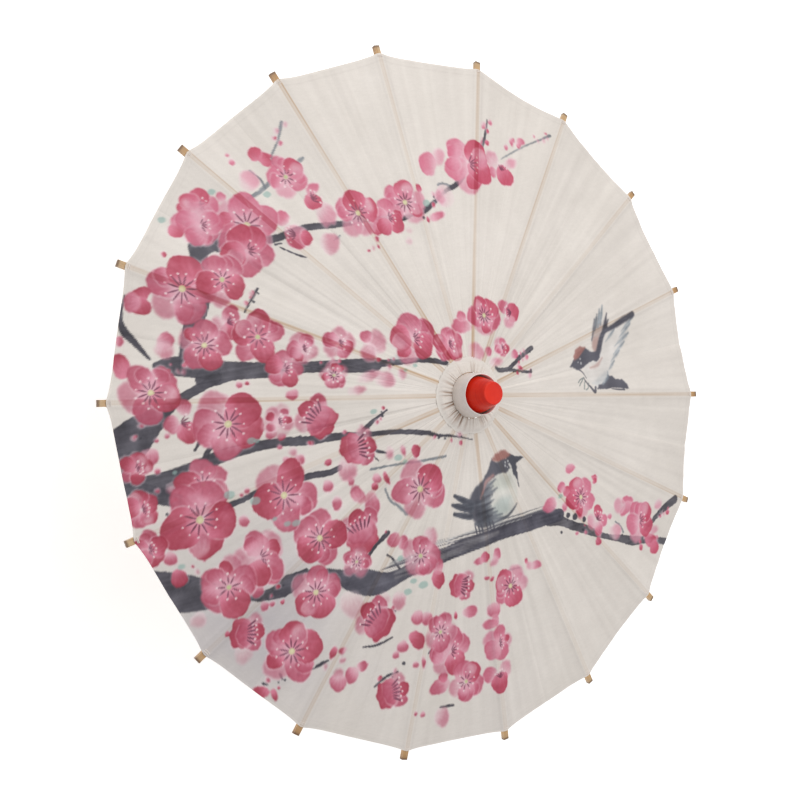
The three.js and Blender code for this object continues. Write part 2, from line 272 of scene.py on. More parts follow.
def feather(points, tint, strength):
    """A brush stroke that fades from its middle to its edges."""
    for wide, soft in ((1.15, 1.5), (0.8, 1.0), (0.45, 0.7)):
        thin = [(x, y, width * wide) for x, y, width in points]
        brush(thin, tint, 1 - (1 - strength) ** 0.45, 0.12, soft=soft)


def patch(corners, colour, soft, strength, grain=4.0):
    """A filled outline with a soft edge."""
    xs, ys = [p[0] for p in corners], [p[1] for p in corners]
    win = Window(xs, ys, 3 * soft + 1)
    edge = np.full(win.x.shape, 99.0, np.float32)
    inside = np.zeros(win.x.shape, bool)
    for (ax, ay), (bx, by) in zip(corners, [*corners[1:], corners[0]]):
        _, away = win.off_segment(ax, ay, bx, by)
        np.minimum(edge, away, out=edge)
        if ay != by:
            crossing = ax + (win.y - ay) * (bx - ax) / (by - ay)
            inside ^= ((ay > win.y) != (by > win.y)) & (win.x < crossing)
    depth = np.where(inside, edge, -edge) + 0.2 * ragged[win.at]
    tint = np.asarray(colour, float) + grain * mottle[win.at][..., None]
    win.lay(strength * ease(-soft, soft, depth), tint)


def stamens(x, y, first, last, count, near, far, seed):
    """Plum filaments from near to far round a point, with pale anthers past their ends."""
    draw = np.random.default_rng(SEED + seed)
    for k in range(count):
        angle = math.radians(first + (last - first) * (k + 0.5) / count + draw.uniform(-5, 5))
        end = near + (far - near) * draw.uniform(0.75, 1.05)
        c, s = math.cos(angle), math.sin(angle)
        width = 0.06 * far + 0.7
        points = [
            (x + near * c, y + near * s, width * 0.6),
            (x + (near + end) / 2 * c, y + (near + end) / 2 * s, width),
            (x + end * c, y + end * s, width * 0.4),
        ]
        brush(points, PLUM, 0.82, 0.05)
        tip = end + draw.uniform(1.0, 2.4)
        blot(x + tip * c, y + tip * s, 0.8, ANTHER, 0.9)


def blossom(x, y, size, turn, tones, core):
    """An open flower of five petals; the first lies at turn degrees.

    The core is yellow ("y"), green ("g") or not shown ("n").
    """
    order = sorted(range(5), key=lambda k: PALEST_FIRST.index(tones[k]))
    seed = int(abs(x * 7 + y * 3))
    draw = np.random.default_rng(SEED + seed)
    for k in order:
        angle = turn + 72 * k + draw.uniform(-10, 10)
        c, s = direction(angle)
        long, wide = size * draw.uniform(0.44, 0.54), size * draw.uniform(0.42, 0.56)
        out = size * draw.uniform(0.5, 0.57)
        flow = angle + draw.uniform(-40, 40)
        petal(x + out * c, y + out * s, long, wide, angle, tones[k], flow)
        if draw.uniform() < 0.45:
            c, s = direction(angle + draw.choice([-17, 17]))
            out = out * 1.12
            petal(x + out * c, y + out * s, long * 0.62, wide * 0.6, angle,
                  OVERLAID[tones[k]], flow + 180 * (tones[k] == "d"))
    blot(x, y, size * 0.3, THROAT, 0.45, soft=size * 0.24)
    if core == "y":
        stamens(x, y, 0, 360, 11, size * 0.13, size * 0.44, seed)
        blot(x, y, size * 0.085 + 0.4, CREAM, 0.95)
        blot(x, y, size * 0.05, PALE_CREAM, 0.6)
    elif core == "g":
        stamens(x, y, 0, 360, 9, size * 0.15, size * 0.4, seed)
        blot(x, y, size * 0.07 + 0.4, LEAF_GREEN, 0.9)
    else:
        stamens(x, y, 20, 160, 5, size * 0.1, size * 0.36, seed)


def bud(x, y, *petals, fan=None):
    """A flower from the side: petals as (dx, dy, rx, ry, turn, tone, frill), and stamens."""
    for dx, dy, rx, ry, turn, tone, *frill in petals:
        petal(x + dx, y + dy, rx, ry, turn, tone, math.degrees(math.atan2(dy, dx + 0.1)), *frill)
    if fan:
        first, last, far = fan
        stamens(x, y, first, last, 5, far * 0.15, far, int(abs(x * 5 + y * 11)))


# Boughs and twigs, each a line of (x, y, width).
BOUGHS = [
    [(-180, 53, 2), (-176, 46, 4), (-173, 39, 4.5), (-170, 30, 3), (-163, 18, 3.5),
     (-156, 3, 5), (-154, -10, 3.5), (-152, -20, 5), (-155, -45, 4), (-154, -75, 5),
     (-155, -108, 5.5), (-150, -135, 6), (-151, -160, 9), (-152, -180, 12)],
    [(-228, 95, 1.5), (-215, 88, 3), (-205, 81, 3)],
    [(-132, -114, 1), (-137, -124, 1.4), (-143, -133, 1)],
    [(-145.5, -131, 1.5), (-145.5, -136, 1.5)],
    [(-114, -158, 2), (-105, -167, 1.5), (-98, -173, 1.5)],
    [(-152, -196, 15), (-130, -199, 11), (-112, -203, 12), (-98, -212, 14), (-80, -222, 9),
     (-68, -226, 8)],
    [(-30, -16, 4.5), (-34, -28, 4.5), (-37, -42, 4), (-38, -55, 4.5), (-40, -72, 6),
     (-40, -80, 11), (-43, -100, 10.5), (-47, -125, 9), (-49, -140, 9), (-52, -165, 12),
     (-56, -190, 14), (-57, -205, 18), (-54, -214, 14)],
    [(-60, -208, 15), (-64, -218, 16), (-68, -235, 14), (-70, -246, 7)],
    [(-76, -250, 2), (-90, -258, 5), (-100, -264, 6), (-110, -264, 3), (-125, -258, 1.2)],
    [(-54, -205, 9), (-50, -214, 7), (-45, -230, 7), (-38, -245, 9), (-30, -260, 20),
     (-20, -276, 29), (-8, -290, 30), (0, -297, 30)],
    [(36, -4, 0.8), (30, -20, 1.6), (26, -35, 2.6), (22, -45, 4), (18, -60, 4), (15, -75, 4),
     (13, -92, 4), (9, -120, 6), (7, -145, 7), (4, -165, 7), (3, -190, 8), (5, -215, 10),
     (12, -242, 14), (15, -262, 17), (14, -278, 15), (10, -290, 13)],
    [(-8, -215, 5), (-2, -221, 4), (5, -226, 5)],
    [(-14, -222, 2), (-9, -227, 2), (-4, -231, 2)],
    [(-3, -76, 1.5), (3, -88, 3), (9, -99, 3)],
    [(30, -83, 2), (26, -92, 2.5), (22, -97, 2)],
    [(35, -90, 1), (30, -94, 1.2)],
    [(33, -123, 4), (35, -132, 5), (34, -147, 5), (35, -160, 4), (34, -175, 3)],
    [(35, -186, 4), (40, -205, 4.5), (43, -225, 5)],
    [(36, -233, 5), (31, -248, 9), (22, -266, 13), (14, -284, 14)],
    [(120, 74, 17), (127, 86, 9), (135, 100, 8), (142, 115, 8), (149, 127, 6), (156, 143, 5),
     (162, 160, 7), (168, 175, 9), (171, 190, 7), (176, 208, 6), (181, 222, 7)],
    [(144, 239, 8), (148, 226, 7.5), (154, 212, 5), (160, 201, 3.5), (163, 195, 2.5)],
    [(93, -91, 4), (100, -102, 3), (107, -110, 3), (117, -119, 4)],
    [(125, -84, 2), (115, -90, 1.5), (110, -95, 1)],
    [(106, -164, 6), (112, -180, 15), (115, -192, 10), (115, -205, 7)],
    [(118, -130, 8), (112, -146, 8), (108, -160, 7)],
    [(114, -205, 7), (108, -222, 12), (104, -240, 21), (98, -258, 28), (93, -276, 32), (89, -294, 34)],
    [(193, -50, 2), (196, -62, 1.5), (200, -68, 1.5)],
    [(178, -98, 1.5), (180, -112, 2), (178, -125, 1.5)],
    [(207, -97, 1.5), (208, -108, 2.2), (213, -119, 1.5)],
    [(252, -48, 2), (249, -62, 1.5)],
    [(179, -157, 1.4), (180, -163, 3), (182, -170, 1.5), (181, -178, 1.5), (183, -182, 2.6)],
    [(183, -195, 1.6), (179, -196, 2.6)],
    [(184, -207, 1.4), (182, -210, 2.4)],
    [(-27, 80, 4), (-23, 68, 4), (-16, 52, 3.5), (-14, 46, 4), (-15, 36, 4), (-18, 33, 2.5)],
    [(-7, 73, 2.5), (-10, 60, 2.5), (-13, 48, 3)],
    [(152, -104, 1.6), (155, -96, 1.2), (158, -92, 1)],
]
PALE_TWIGS = [
    [(-174, 37, 2), (-177, 30, 2), (-176, 24, 1.5)],
    [(-210, 165, 3), (-207, 152, 1.5), (-202, 130, 1.5), (-193, 101, 1)],
    [(-240, -105, 3), (-225, -112, 1.6), (-216, -119, 1.5), (-209, -120, 2)],
    [(-210, -95, 3), (-207, -100, 3)],
    [(-196, -124, 3.5), (-188, -137, 3.2), (-183, -149, 3)],
    [(-205, -141, 1.5), (-197, -134, 1.8), (-190, -132, 1.5)],
    [(44, -31, 2), (43, -55, 2.2), (41, -75, 1.8), (40, -98, 1.8)],
    [(82, -73, 2.5), (75, -78, 2.5), (68, -85, 2), (58, -88, 1.5)],
    [(145, 155, 1.4), (150, 161, 1.6), (157, 164, 1.8)],
    [(-145, -80, 1.4), (-142, -86, 1.2)],
    [(155, 33, 1.2), (154, 20, 2), (155, 10, 1.5)],
]
for points in PALE_TWIGS:
    brush(points, TWIG_GREY, 0.8)
for points in BOUGHS:
    brush(points, WORN_INK if points[0][1] > WORN_FROM else WET_INK)
patch([(-161, -172), (-154, -170), (-147, -184), (-142, -196), (-142, -204), (-150, -202),
       (-157, -198), (-159, -188)], WET_INK, 0.6, 0.95, 7.0)
for y, size in ((-57, 3.0), (-62, 2.2)):
    blot(-41, y, size, (168, 172, 176), 0.45, soft=1.6)


def beads(x, y, end_x, end_y, count, knots=0):
    """Small buds on both sides of a twig, and dark knots on it."""
    draw = np.random.default_rng(SEED + int(abs(3 * x + 5 * y)))
    length = math.hypot(end_x - x, end_y - y)
    ax, ay = (end_x - x) / length, (end_y - y) / length
    for k in range(count + knots):
        t, off, r = draw.uniform(0, length), draw.choice([-1, 1]), draw.uniform(0.8, 1.9)
        away = off * (r + draw.uniform(0.8, 1.8)) * (1 if k < count else 0.6)
        px, py = x + ax * t - ay * away, y + ay * t + ax * away
        if k < count:
            petal(px, py, r, r * 1.2, draw.uniform(0, 180), "mdl"[k % 3])
        else:
            blot(px, py, 0.5 * r + 0.3, DEEP_INK, 0.85)


for twig in ((-210, 165, -205, 118, 9), (-228, 95, -206, 82, 6), (-240, -105, -212, -119, 6),
             (-27, 80, -15, 46, 6, 4), (-7, 73, -13, 50, 6, 2),
             (33, -14, 24, -40, 4, 3), (93, -91, 116, -118, 3, 3), (152, -104, 158, -92, 3),
             (-114, -158, -98, -173, 4, 2), (-3, -76, 9, -99, 4, 3), (14, -92, 5, -150, 6, 5),
             (-36, -30, -40, -75, 4, 4), (-45, -105, -52, -160, 5, 4), (160, 160, 178, 214, 3, 6),
             (125, 84, 150, 132, 3, 8), (144, 238, 156, 206, 3, 4), (-172, 34, -154, -8, 3, 3),
             (110, -150, 114, -196, 5, 3), (62, -226, 96, -262, 8, 3), (-60, -212, -70, -244, 6, 2),
             (-30, -262, -6, -284, 3, 1), (180, -160, 184, -206, 4, 4), (207, -97, 212, -118, 3, 2),
             (22, -232, 36, -262, 7, 4), (-142, -20, -132, -60, 4)):
    beads(*twig)

# The bough under the perched bird: a wide brush, its upper edge broken into bristle marks.
brush([(112, 78, 5), (111, 40, 5), (112, 5, 6), (113, -40, 7), (117, -75, 7), (120, -92, 6)],
      (158, 157, 158), 0.7, 0.1, 0.35)
brush([(121, 84, 11), (120, 60, 13), (120, 20, 12), (121, 0, 12), (122, -20, 13),
       (124, -45, 12), (128, -75, 11), (131, -90, 12), (131, -104, 18), (127, -116, 21),
       (121, -128, 19)], INK, 0.96, 0.12)
brush([(114, 70, 4), (113.5, 30, 4), (114, 0, 4), (115, -30, 5), (118, -60, 5), (122, -88, 6),
       (124, -100, 8)], INK, 0.75, 0.1, 0.1)
brush([(119, 14, 3), (121, -20, 9), (125, -58, 10), (129, -88, 6)], (132, 128, 131), 0.62, 0.1, 0.25,
      0.8)
for offset, shade in ((0, 150), (3.2, 128), (6.4, 140)):
    brush([(119 + offset, 0, 1.1), (121 + offset, -40, 1.3), (126 + offset, -80, 1.1)],
          (shade, shade, shade + 6), 0.45, 0.1, 0.3, 0.6)
for k in range(5):
    x = 109.6 + 1.5 * k
    brush([(x, 62 - 3 * k, 0.7), (x - 0.3, 20, 0.8), (x + 1.2, -40, 0.7), (x + 4, -75, 0.5)],
          (208, 205, 200) if k % 2 else (104, 103, 110), 0.7, 0.05, 0.15, 0.3)

# Loose petals: (x, y, rx, ry, turn, tone, flow).
PETALS = [
    (-200, 33, 6, 7, 60, "l", 60), (-195, 20, 9, 10, 80, "m", 250), (-166, 28, 8, 9, 90, "v", 250),
    (-166, 24, 6, 5, 0, "l", 270), (-150, 14, 3.4, 8.5, 8, "m", 90), (-148, 4, 2.4, 1.7, 10, "d", 0),
    (-175, 3, 3.4, 3, 0, "d", 160), (-179, -6, 1.8, 1.8, 0, "m", 160), (-157, -8, 3, 6, 0, "l", 0),
    (-146, -46, 4.5, 5.5, 60, "d", 60), (-213, -126, 6.5, 5.5, 40, "d", 90),
    (-218, -133, 6, 5.5, 120, "d", 200), (-197, -144, 8, 8, 0, "l", 120),
    (-140, -90, 8, 8, 0, "l", 90), (-123, -247, 6, 8, 25, "d", 180), (-115, -248, 6, 8, -20, "d", 0),
    (-119, -254, 7, 6, 0, "m", 270), (-87, -236, 6, 7, 20, "m", 90), (-81, -238, 6, 7, -20, "l", 0),
    (-75, -272, 9, 7, 0, "d", 200), (-93, -269, 4, 3, 0, "m", 90), (-145, -214, 3, 3.5, 0, "d", 90),
    (-150, -223, 2, 2, 0, "d", 90), (-159, -201, 2, 3, 0, "m", 90), (-167, -209, 6, 6, 0, "d", 60),
    (-175, -206, 4.5, 5.5, 30, "m", 200), (-166, -196, 7, 6, 0, "m", 300), (-187, -170, 4, 3.6, 0, "m", 180),
    (-181, -177, 3.6, 3.6, 0, "l", 90), (-183, -200, 4.6, 5, 20, "d", 250), (-171, -194, 3, 4, 0, "m", 180),
    (-27, -72, 8, 6, 60, "l", 90), (-32, -85, 4, 8, 10, "l", 90), (-23, -97, 3, 6, 0, "l", 90),
    (-28, -57, 3.5, 3, 0, "l", 90), (106, -53, 7, 6, 0, "l", 90), (142, -51, 8, 6, 20, "d", 60),
    (131, -50, 6, 5, 0, "m", 180), (104, -79, 6, 5, 0, "m", 90), (100, -87, 5.5, 6, 0, "m", 270),
    (50, -86, 5, 2, 20, "d", 0), (48, -94, 4, 3.4, 0, "m", 0), (54, -97, 3, 3, 0, "d", 0),
    (67, -101, 10, 6, 10, "m", 0), (57, -112, 8, 5, 20, "m", 180), (45, -116, 4, 2.5, 0, "m", 0),
    (34, -57, 5, 4, 0, "d", 90), (31, -68, 4, 2, 0, "m", 0), (31, -80, 4, 3, 0, "l", 0),
    (45, -135, 5, 4, 0, "m", 0), (27, -132, 2.5, 3, 0, "d", 0), (141, -130, 10, 9, 0, "v", 0),
    (183, 1, 6.5, 7.5, 0, "m", 0), (192, 1, 5, 4, 0, "m", 0), (194, -4, 4, 7.5, 0, "m", 270),
    (157, 51, 3.6, 5.6, 0, "m", 90), (156, 45, 3, 4, 0, "l", 270), (151, 41, 2.4, 1.8, 0, "d", 180),
    (137, 10, 5, 4.6, 0, "m", 120), (142, 6, 3.6, 4.4, 20, "l", 0), (136, -3, 4.6, 4, 0, "d", 90),
    (138, -9, 3, 4.5, 0, "m", 270),
    (178, -22, 5, 7, 0, "m", 90), (177, -37, 3, 2, 0, "d", 0), (171, -66, 5, 5, 0, "m", 0),
    (168, -74, 6, 5, 0, "m", 0), (186, -77, 8, 6, 20, "d", 60), (188, -90, 5, 5, 0, "m", 0),
    (193, -97, 3, 3, 0, "m", 0), (150, -88, 7, 6, 0, "l", 0), (145, -102, 5, 5, 0, "v", 0),
    (231, -60, 7, 10, 10, "m", 270), (225, -56, 4, 5, 0, "d", 180), (258, -61, 8, 7, 0, "l", 60),
    (249, -80, 2.5, 2.5, 0, "m", 0), (246, -87, 1.5, 1.5, 0, "m", 0), (206, -74, 4, 2, 0, "m", 0),
    (206, -81, 2.5, 2.5, 0, "m", 0), (156, 2, 1.6, 2.4, 30, "d", 0), (154, -3.5, 1.4, 2.4, 0, "d", 0),
    (193, -128, 4, 5, -20, "m", 90), (197, -138, 6.5, 6.5, 0, "m", 300), (199, -151, 8, 7, 30, "m", 330),
    (193, -150, 5, 4, 0, "l", 180), (175, -144, 2.4, 3.6, 10, "m", 270), (174, -152, 4.6, 2.6, -35, "d", 330),
    (182, -145, 2.4, 2.4, 0, "l", 0), (193, -203, 4.6, 2.6, 10, "d", 0), (189, -199, 1.2, 1.2, 0, "d", 0),
    (188, -213, 4.6, 6.5, -20, "d", 300), (136, -233, 1.8, 2, 0, "d", 0), (124, -186, 1.8, 1.8, 0, "d", 0),
    (123, -195, 2, 2.4, 0, "m", 0), (123, -201, 4, 3.4, 0, "m", 0), (102, -191, 7, 6, 0, "d", 180),
    (110, -205, 5, 5, 0, "m", 0), (120, -252, 5, 5, 0, "v", 0), (155, -222, 7, 6, 0, "v", 0),
    (174, 201, 6, 9, -25, "d", 90), (182, 205, 6, 7, 30, "d", 0), (166, 205, 4, 7, 10, "l", 90),
    (131, 175, 5.5, 7.5, -15, "m", 180), (137, 171, 5, 8, 25, "m", 0), (132, 163, 7, 7, 0, "l", 270),
    (99, 134, 2.6, 3.6, -20, "d", 90), (102, 134, 2.4, 3.4, 20, "d", 90), (103, 97, 5, 6, 0, "d", 180),
    (98, 90, 5, 5, 0, "m", 200), (115, 91, 4, 3, 0, "m", 0), (84, 104, 4, 6, 0, "m", 0),
    (110, 74, 6, 8, 20, "m", 270), (138, 148, 2.4, 3, 0, "m", 0), (143, 216, 4, 5, 20, "l", 0),
    (154, 228, 2.2, 2.6, 0, "d", 0), (156, 128, 4, 3.4, 0, "d", 0), (177, 186, 3, 2.6, 0, "d", 0),
    (142, 103, 1.8, 1.8, 0, "m", 0), (154, 153, 7, 8, 0, "l", 90), (-57, 8, 6, 10, -10, "m", 250),
    (-65, 11, 4, 4.5, 0, "m", 180), (-25, 58, 4, 4, 0, "m", 90), (-32, 29, 4, 3.6, 0, "m", 90),
    (-22, 35, 3, 6, 0, "l", 90), (-34, 16, 7, 8, 0, "l", 90), (-49, 2, 3, 3, 0, "d", 0),
    (-207, 130, 3, 5, 0, "m", 90), (-207, 119, 3, 1.6, 0, "m", 0), (-203, 111, 2.5, 2.5, 0, "m", 0),
    (-188, 110, 4, 7, 10, "l", 90), (-226, 98, 2.5, 2.5, 0, "m", 0), (-208, 88, 2.5, 2.5, 0, "d", 0),
    (20, -154, 4, 4, 0, "m", 0), (18, -164, 3, 3, 0, "m", 0), (13, -158, 3, 3, 0, "l", 0),
    (0, -164, 3, 3, 0, "d", 0), (-4, -172, 4, 4, 0, "m", 0), (7, -167, 2, 2, 0, "m", 0),
    (20, -253, 4, 4, 0, "l", 0), (5, -261, 2.2, 2.2, 0, "m", 0), (-45, -189, 2.5, 2.5, 0, "m", 0),
    (-45, -183, 1.5, 1.5, 0, "d", 0), (34, -199.5, 2, 2, 0, "m", 0), (36, -204, 1.5, 1.5, 0, "m", 0),
    (56, -205, 4, 4, 0, "m", 0), (19, -264, 1.5, 1.5, 0, "m", 0), (-19, -249, 2, 2, 0, "m", 0),
    (-17, -257, 1.5, 1.5, 0, "m", 0), (86, -260, 7, 6, 0, "d", 0), (-219, -156, 1.5, 1.5, 0, "m", 0),
    (-213, -154, 2.5, 2.5, 0, "m", 0), (-142, -16, 2, 2, 0, "v", 0), (-133, -19, 2, 2, 0, "v", 0),
    (-134, -205, 3, 4, 0, "m", 0), (-120, -198, 4, 3, 0, "l", 0), (-30, -150, 4, 5, 0, "m", 0),
    (60, -130, 5, 4, 0, "m", 0), (100, -240, 6, 5, 0, "d", 0), (70, -264, 5, 5, 0, "m", 0),
]
for x, y, rx, ry, turn, tone, flow in PETALS:
    petal(x, y, rx, ry, turn, tone, flow)

# Flowers from the side: centre, petals from it, and the fan of stamens.
bud(-183, 97, (-10, -8, 8, 7, 0, "l"), (5, 3, 10, 9, 30, "d"), (1, -10, 5, 4, 0, "m"), fan=(90, 200, 6))
bud(-176, -96, (13, 9, 9, 8, 0, "l", 0.08), (1, 1, 7, 7, 0, "d"), (-9, 3, 4, 6, 20, "m"),
    fan=(60, 180, 7))
bud(-151, -117, (-14, -8, 6, 6, 0, "m"), (2, 0, 10, 10, 0, "m"), (4, 8, 6, 5, 0, "d"), fan=(200, 320, 7))
bud(-92, -188, (-5, 4, 8, 7, 0, "m"), (6, 2, 7, 8, 0, "d"), (1, -7, 7, 6, 0, "l"), fan=(60, 160, 6))
bud(-26, -238, (-11, 4, 6, 6, 0, "m"), (8, 4, 8, 8, 0, "d"), (0, -6, 7, 6, 0, "m"), fan=(30, 150, 7))
bud(35, -117, (0, 0, 9, 8, 0, "l"))
bud(-55, -75, (-2, 3, 9, 8, 0, "l"), (5, -6, 7, 6, 0, "l"), (-8, -5, 5, 5, 0, "m"))
bud(137, 130, (-7, 3, 6, 6, 0, "d"), (2, 8, 6, 6, 0, "m"), (8, 0, 6, 6, 0, "m"),
    (0, -7, 7, 6, 0, "l"), fan=(60, 200, 6))
bud(-6, -265, (0, 0, 7, 7, 0, "m"))
bud(243, 0, (-6, 7, 7, 7, 0, "l"), (-5, -9, 7, 7, 0, "m"), (4, 0, 9, 9, 0, "d"), fan=(120, 240, 6))
bud(-60, 66, (-6, -8, 6, 6, 0, "m"), (0, 1, 8, 8, 0, "d"), (7, -5, 5, 6, 0, "l"), fan=(200, 320, 6))
bud(207, -3, (0, 0, 7, 7, 0, "m"))


def cup(x, y, size, lean):
    """A half-open flower: small petals behind, stamens, and a frilled cup that leans one way."""
    c, s = direction(lean)
    for k, tone in ((-1, "l"), (1, "m"), (0, "d")):
        back, side = size * (0.48 - 0.2 * abs(k)), size * 0.55 * k
        petal(x + back * -c - side * s, y + back * -s + side * c, size * 0.48, size * 0.46, lean,
              tone, lean + 180 - 40 * k)
    petal(x + 0.4 * size * c, y + 0.4 * size * s, size * 0.72, size * 0.86, lean, "d", lean, 0.07)
    petal(x + 0.2 * size * c, y + 0.2 * size * s, size * 0.5, size * 0.72, lean + 8, "m", lean, 0.04)
    for k in range(6):
        off = (k - 2.5) * 0.15 * size
        px, py = x + 0.06 * size * c - off * s, y + 0.06 * size * s + off * c
        far = size * (0.46 + 0.06 * math.cos(2.3 * k))
        dx, dy = direction(lean + 180 - 13 * (k - 2.5))
        ex, ey = px + far * dx, py + far * dy
        brush([(px, py, 0.7), ((px + ex) / 2, (py + ey) / 2, 1.7), (ex, ey, 1.1)], PLUM, 0.85, 0.05)
        blot(ex + 1.2 * dx, ey + 1.2 * dy, 0.9, ANTHER, 0.9)


for flower in ((-10, -135, 16, 40), (21, -104, 14.5, 270), (84, -114, 17, 10), (158, -112, 17, 35),
               (154, -27, 12, 250), (222, -103, 14, 270), (140, -216, 14, 260)):
    cup(*flower)

# Open flowers: (x, y, size, turn of the first petal, tones of the five petals, core).
BLOSSOMS = [
    (-191, 61, 25, 58, "ddmml", "n"), (-165, -13, 19, 18, "lldmm", "y"),
    (-154, -33, 16, 40, "dlmmd", "n"), (-161, -60, 19, 30, "lddml", "y"),
    (-197, -112, 17, 54, "mdmml", "g"), (-163, -155, 26, 20, "lmmlm", "y"),
    (-144, -159, 20, 60, "mdddm", "n"), (-182, -188, 14, 160, "ddmmm", "n"),
    (-168, -190, 17, 30, "mmlmm", "n"),
    (-123, -216, 26, 18, "mmdml", "y"), (-125, -184, 20, 60, "dmmdl", "g"),
    (-78, -167, 20, 20, "dmddm", "g"), (-79, -208, 20, 90, "mmlmd", "y"),
    (-52, -255, 22, 54, "dmmlm", "y"), (-50, -152, 15, 18, "dmmdm", "n"),
    (-54, -40, 20, 40, "dmmdl", "n"), (-44, -9, 14, 30, "dmmdm", "n"),
    (-62, -104, 13, 18, "mllml", "n"), (-38, -113, 11, 40, "mlllm", "g"),
    (-63, -134, 12, 60, "lmlml", "n"), (65, -58, 24, 55, "mdlml", "y"),
    (119, -64, 17, 90, "mmllm", "g"), (109, -121, 12, 18, "lmlml", "g"),
    (83, -149, 22, 18, "mdmmd", "y"), (44, -171, 26, 70, "mdldm", "y"),
    (124, -158, 21, 18, "dmmld", "y"), (86, -198, 21, 50, "mlmld", "n"),
    (-18, -203, 27, 60, "ddlmm", "y"), (22, -230, 20, 36, "dmmdm", "g"),
    (47, -238, 29, 0, "ddmmd", "y"), (102, -225, 22, 18, "dmlmm", "g"),
    (164, -184, 24, 12, "mddml", "y"), (206, -46, 21, 30, "dmmml", "n"),
    (236, -33, 18, 60, "mdmlm", "g"), (186, -54, 16, 0, "mlmml", "g"),
    (213, 2, 15, 18, "mlmlm", "n"), (168, 22, 18, 10, "dlldm", "y"),
    (152, 188, 19, 50, "ddmml", "n"), (112, 113, 19, 60, "mmddl", "y"),
    (-62, 35, 17, 50, "mddml", "y"), (-33, 45, 8, 0, "mdmlm", "n"),
    (-12, -165, 12, 0, "vlvlv", "n"), (30, -278, 14, 40, "ddddm", "n"),
    (0, -276, 12, 10, "ddddm", "n"), (60, -279, 14, 30, "ddmdd", "n"),
]
for row in BLOSSOMS:
    blossom(*row)
for x, y, size in ((132, 113, 2.5), (127, 102, 3), (124, 94, 2.5), (122, 84, 1.5),
                   (137, 85, 1.2), (-150, 0, 1.2), (202, -91, 1.6)):
    blot(x, y, size, DEEP_INK, 0.9)
for x, y, size in ((143, -65, 3), (137.5, -73, 2), (145, -79, 2.5), (116, -83, 2), (36, -73, 2.5),
                   (40, -68, 1.5), (-185, -132, 2.5), (-162, 7, 3), (-33, -44, 1.5),
                   (-31, -53, 1.2), (-1, -184, 1.6), (-2, -188, 2.5), (67, -165, 2.5),
                   (66, -172, 2), (60, -181, 1.5), (78, -257, 2), (9, -249, 1.5), (34, -213, 3),
                   (43, -194, 3), (-4, -87, 2), (105, 87, 2), (-176, -218, 2.4), (-192, -176, 2.2)):
    blot(x, y, size, TEAL, 0.7, size * 1.4, 0.6)

# The flying bird, seen from above with one wing raised.
SLATE = (88, 87, 97)
STEEL_BLUE = (148, 157, 165)
WHITE = (221, 215, 210)
RUST = (164, 114, 107)
CLAW_GREY = (126, 134, 134)
CHEEK_WHITE = (204, 202, 203)
patch([(-31, 212), (-22, 206), (-12, 200), (-3, 189), (6, 180), (14, 172), (10, 162), (-6, 162),
       (-20, 172), (-28, 186)], WHITE, 2.6, 0.85)
for start, end, width in (
    ((-35, 219), (-24, 200), 4.5), ((-29, 214), (-19, 196), 4), ((-21, 210), (-12, 188), 5.5),
    ((-14, 203), (-5, 185), 4), ((-7, 194), (1, 180), 3.6), ((1, 185), (8, 174), 3.2),
    ((-27, 190), (-18, 176), 4)):
    middle = [0.6 * a + 0.4 * b for a, b in zip(start, end)]
    feather([(*start, width * 0.4), (*middle, width), (*end, 0.6)], STEEL_BLUE, 0.5)
    feather([(*start, width * 0.3), (*middle, width * 0.4)], (116, 124, 134), 0.4)
patch([(-42, 172), (-34, 164), (-26, 158), (-16, 156), (-10, 159), (-11, 166), (-20, 171),
       (-30, 175)], (188, 172, 166), 1.8, 0.9)
patch([(-24, 167), (-13, 167), (-10, 160), (-16, 156), (-24, 159)], (186, 152, 144), 2.2, 0.7)
for start, end, width, tint in (
    ((-51, 181), (-34, 172), 3, STEEL_BLUE), ((-48, 176), (-32, 168), 3, STEEL_BLUE),
    ((-43, 184), (-24, 173), 4.4, SLATE), ((-37, 184), (-25, 172), 5, SLATE),
    ((-44, 171), (-30, 163), 3.4, (112, 118, 126)), ((-40, 166), (-22, 157), 2.4, (108, 108, 116))):
    middle = [(a + b) / 2 for a, b in zip(start, end)]
    feather([(*start, 0.8), (*middle, width), (*end, width * 0.5)], tint, 0.8)
patch([(-10, 168), (0, 174), (10, 174), (18, 168), (21, 160), (20, 150), (13, 142), (5, 139),
       (-2, 142), (-6, 152)], WHITE, 2.2, 0.92)
patch([(8, 172), (16, 166), (20, 156), (16, 148), (13, 156), (10, 164)], (188, 190, 192), 2.6, 0.6)
feather([(-4, 168, 2), (1, 160, 4), (2, 150, 2)], (192, 160, 154), 0.6)
feather([(-37, 219, 5), (-34, 205, 5.5), (-30, 190, 4.4), (-28, 178, 3.6)], SLATE, 0.97)
brush([(-38, 219, 4), (-34, 204, 3.4), (-30, 188, 2.4), (-27, 176, 2)], SLATE, 0.8, 0.1, soft=0.7)
feather([(-30, 180, 3), (-23, 171, 5), (-14, 166, 6), (-6, 161, 5)], SLATE, 0.96)
patch([(-12, 166), (-5, 165), (-2, 160), (-4, 154), (-2, 146), (1, 138), (1, 132), (-2, 127),
       (-3, 123), (-8, 128), (-14, 136), (-17, 146), (-12, 154), (-11, 160)], SLATE, 0.9, 0.97)
patch([(-17, 147), (-19, 140), (-17, 133), (-11, 129), (-8, 130), (-9, 136), (-13, 142)],
      RUST, 1.3, 0.92)
for x, y, r in ((-8, 138, 1.1), (-4, 138.4, 1.2), (-5.4, 134.5, 0.8)):
    blot(x, y, r, CHEEK_WHITE, 0.75, soft=0.5)
brush([(0, 133, 1.8), (4, 138, 1.3), (10, 141.5, 0.6)], SLATE, 0.85, 0.05)
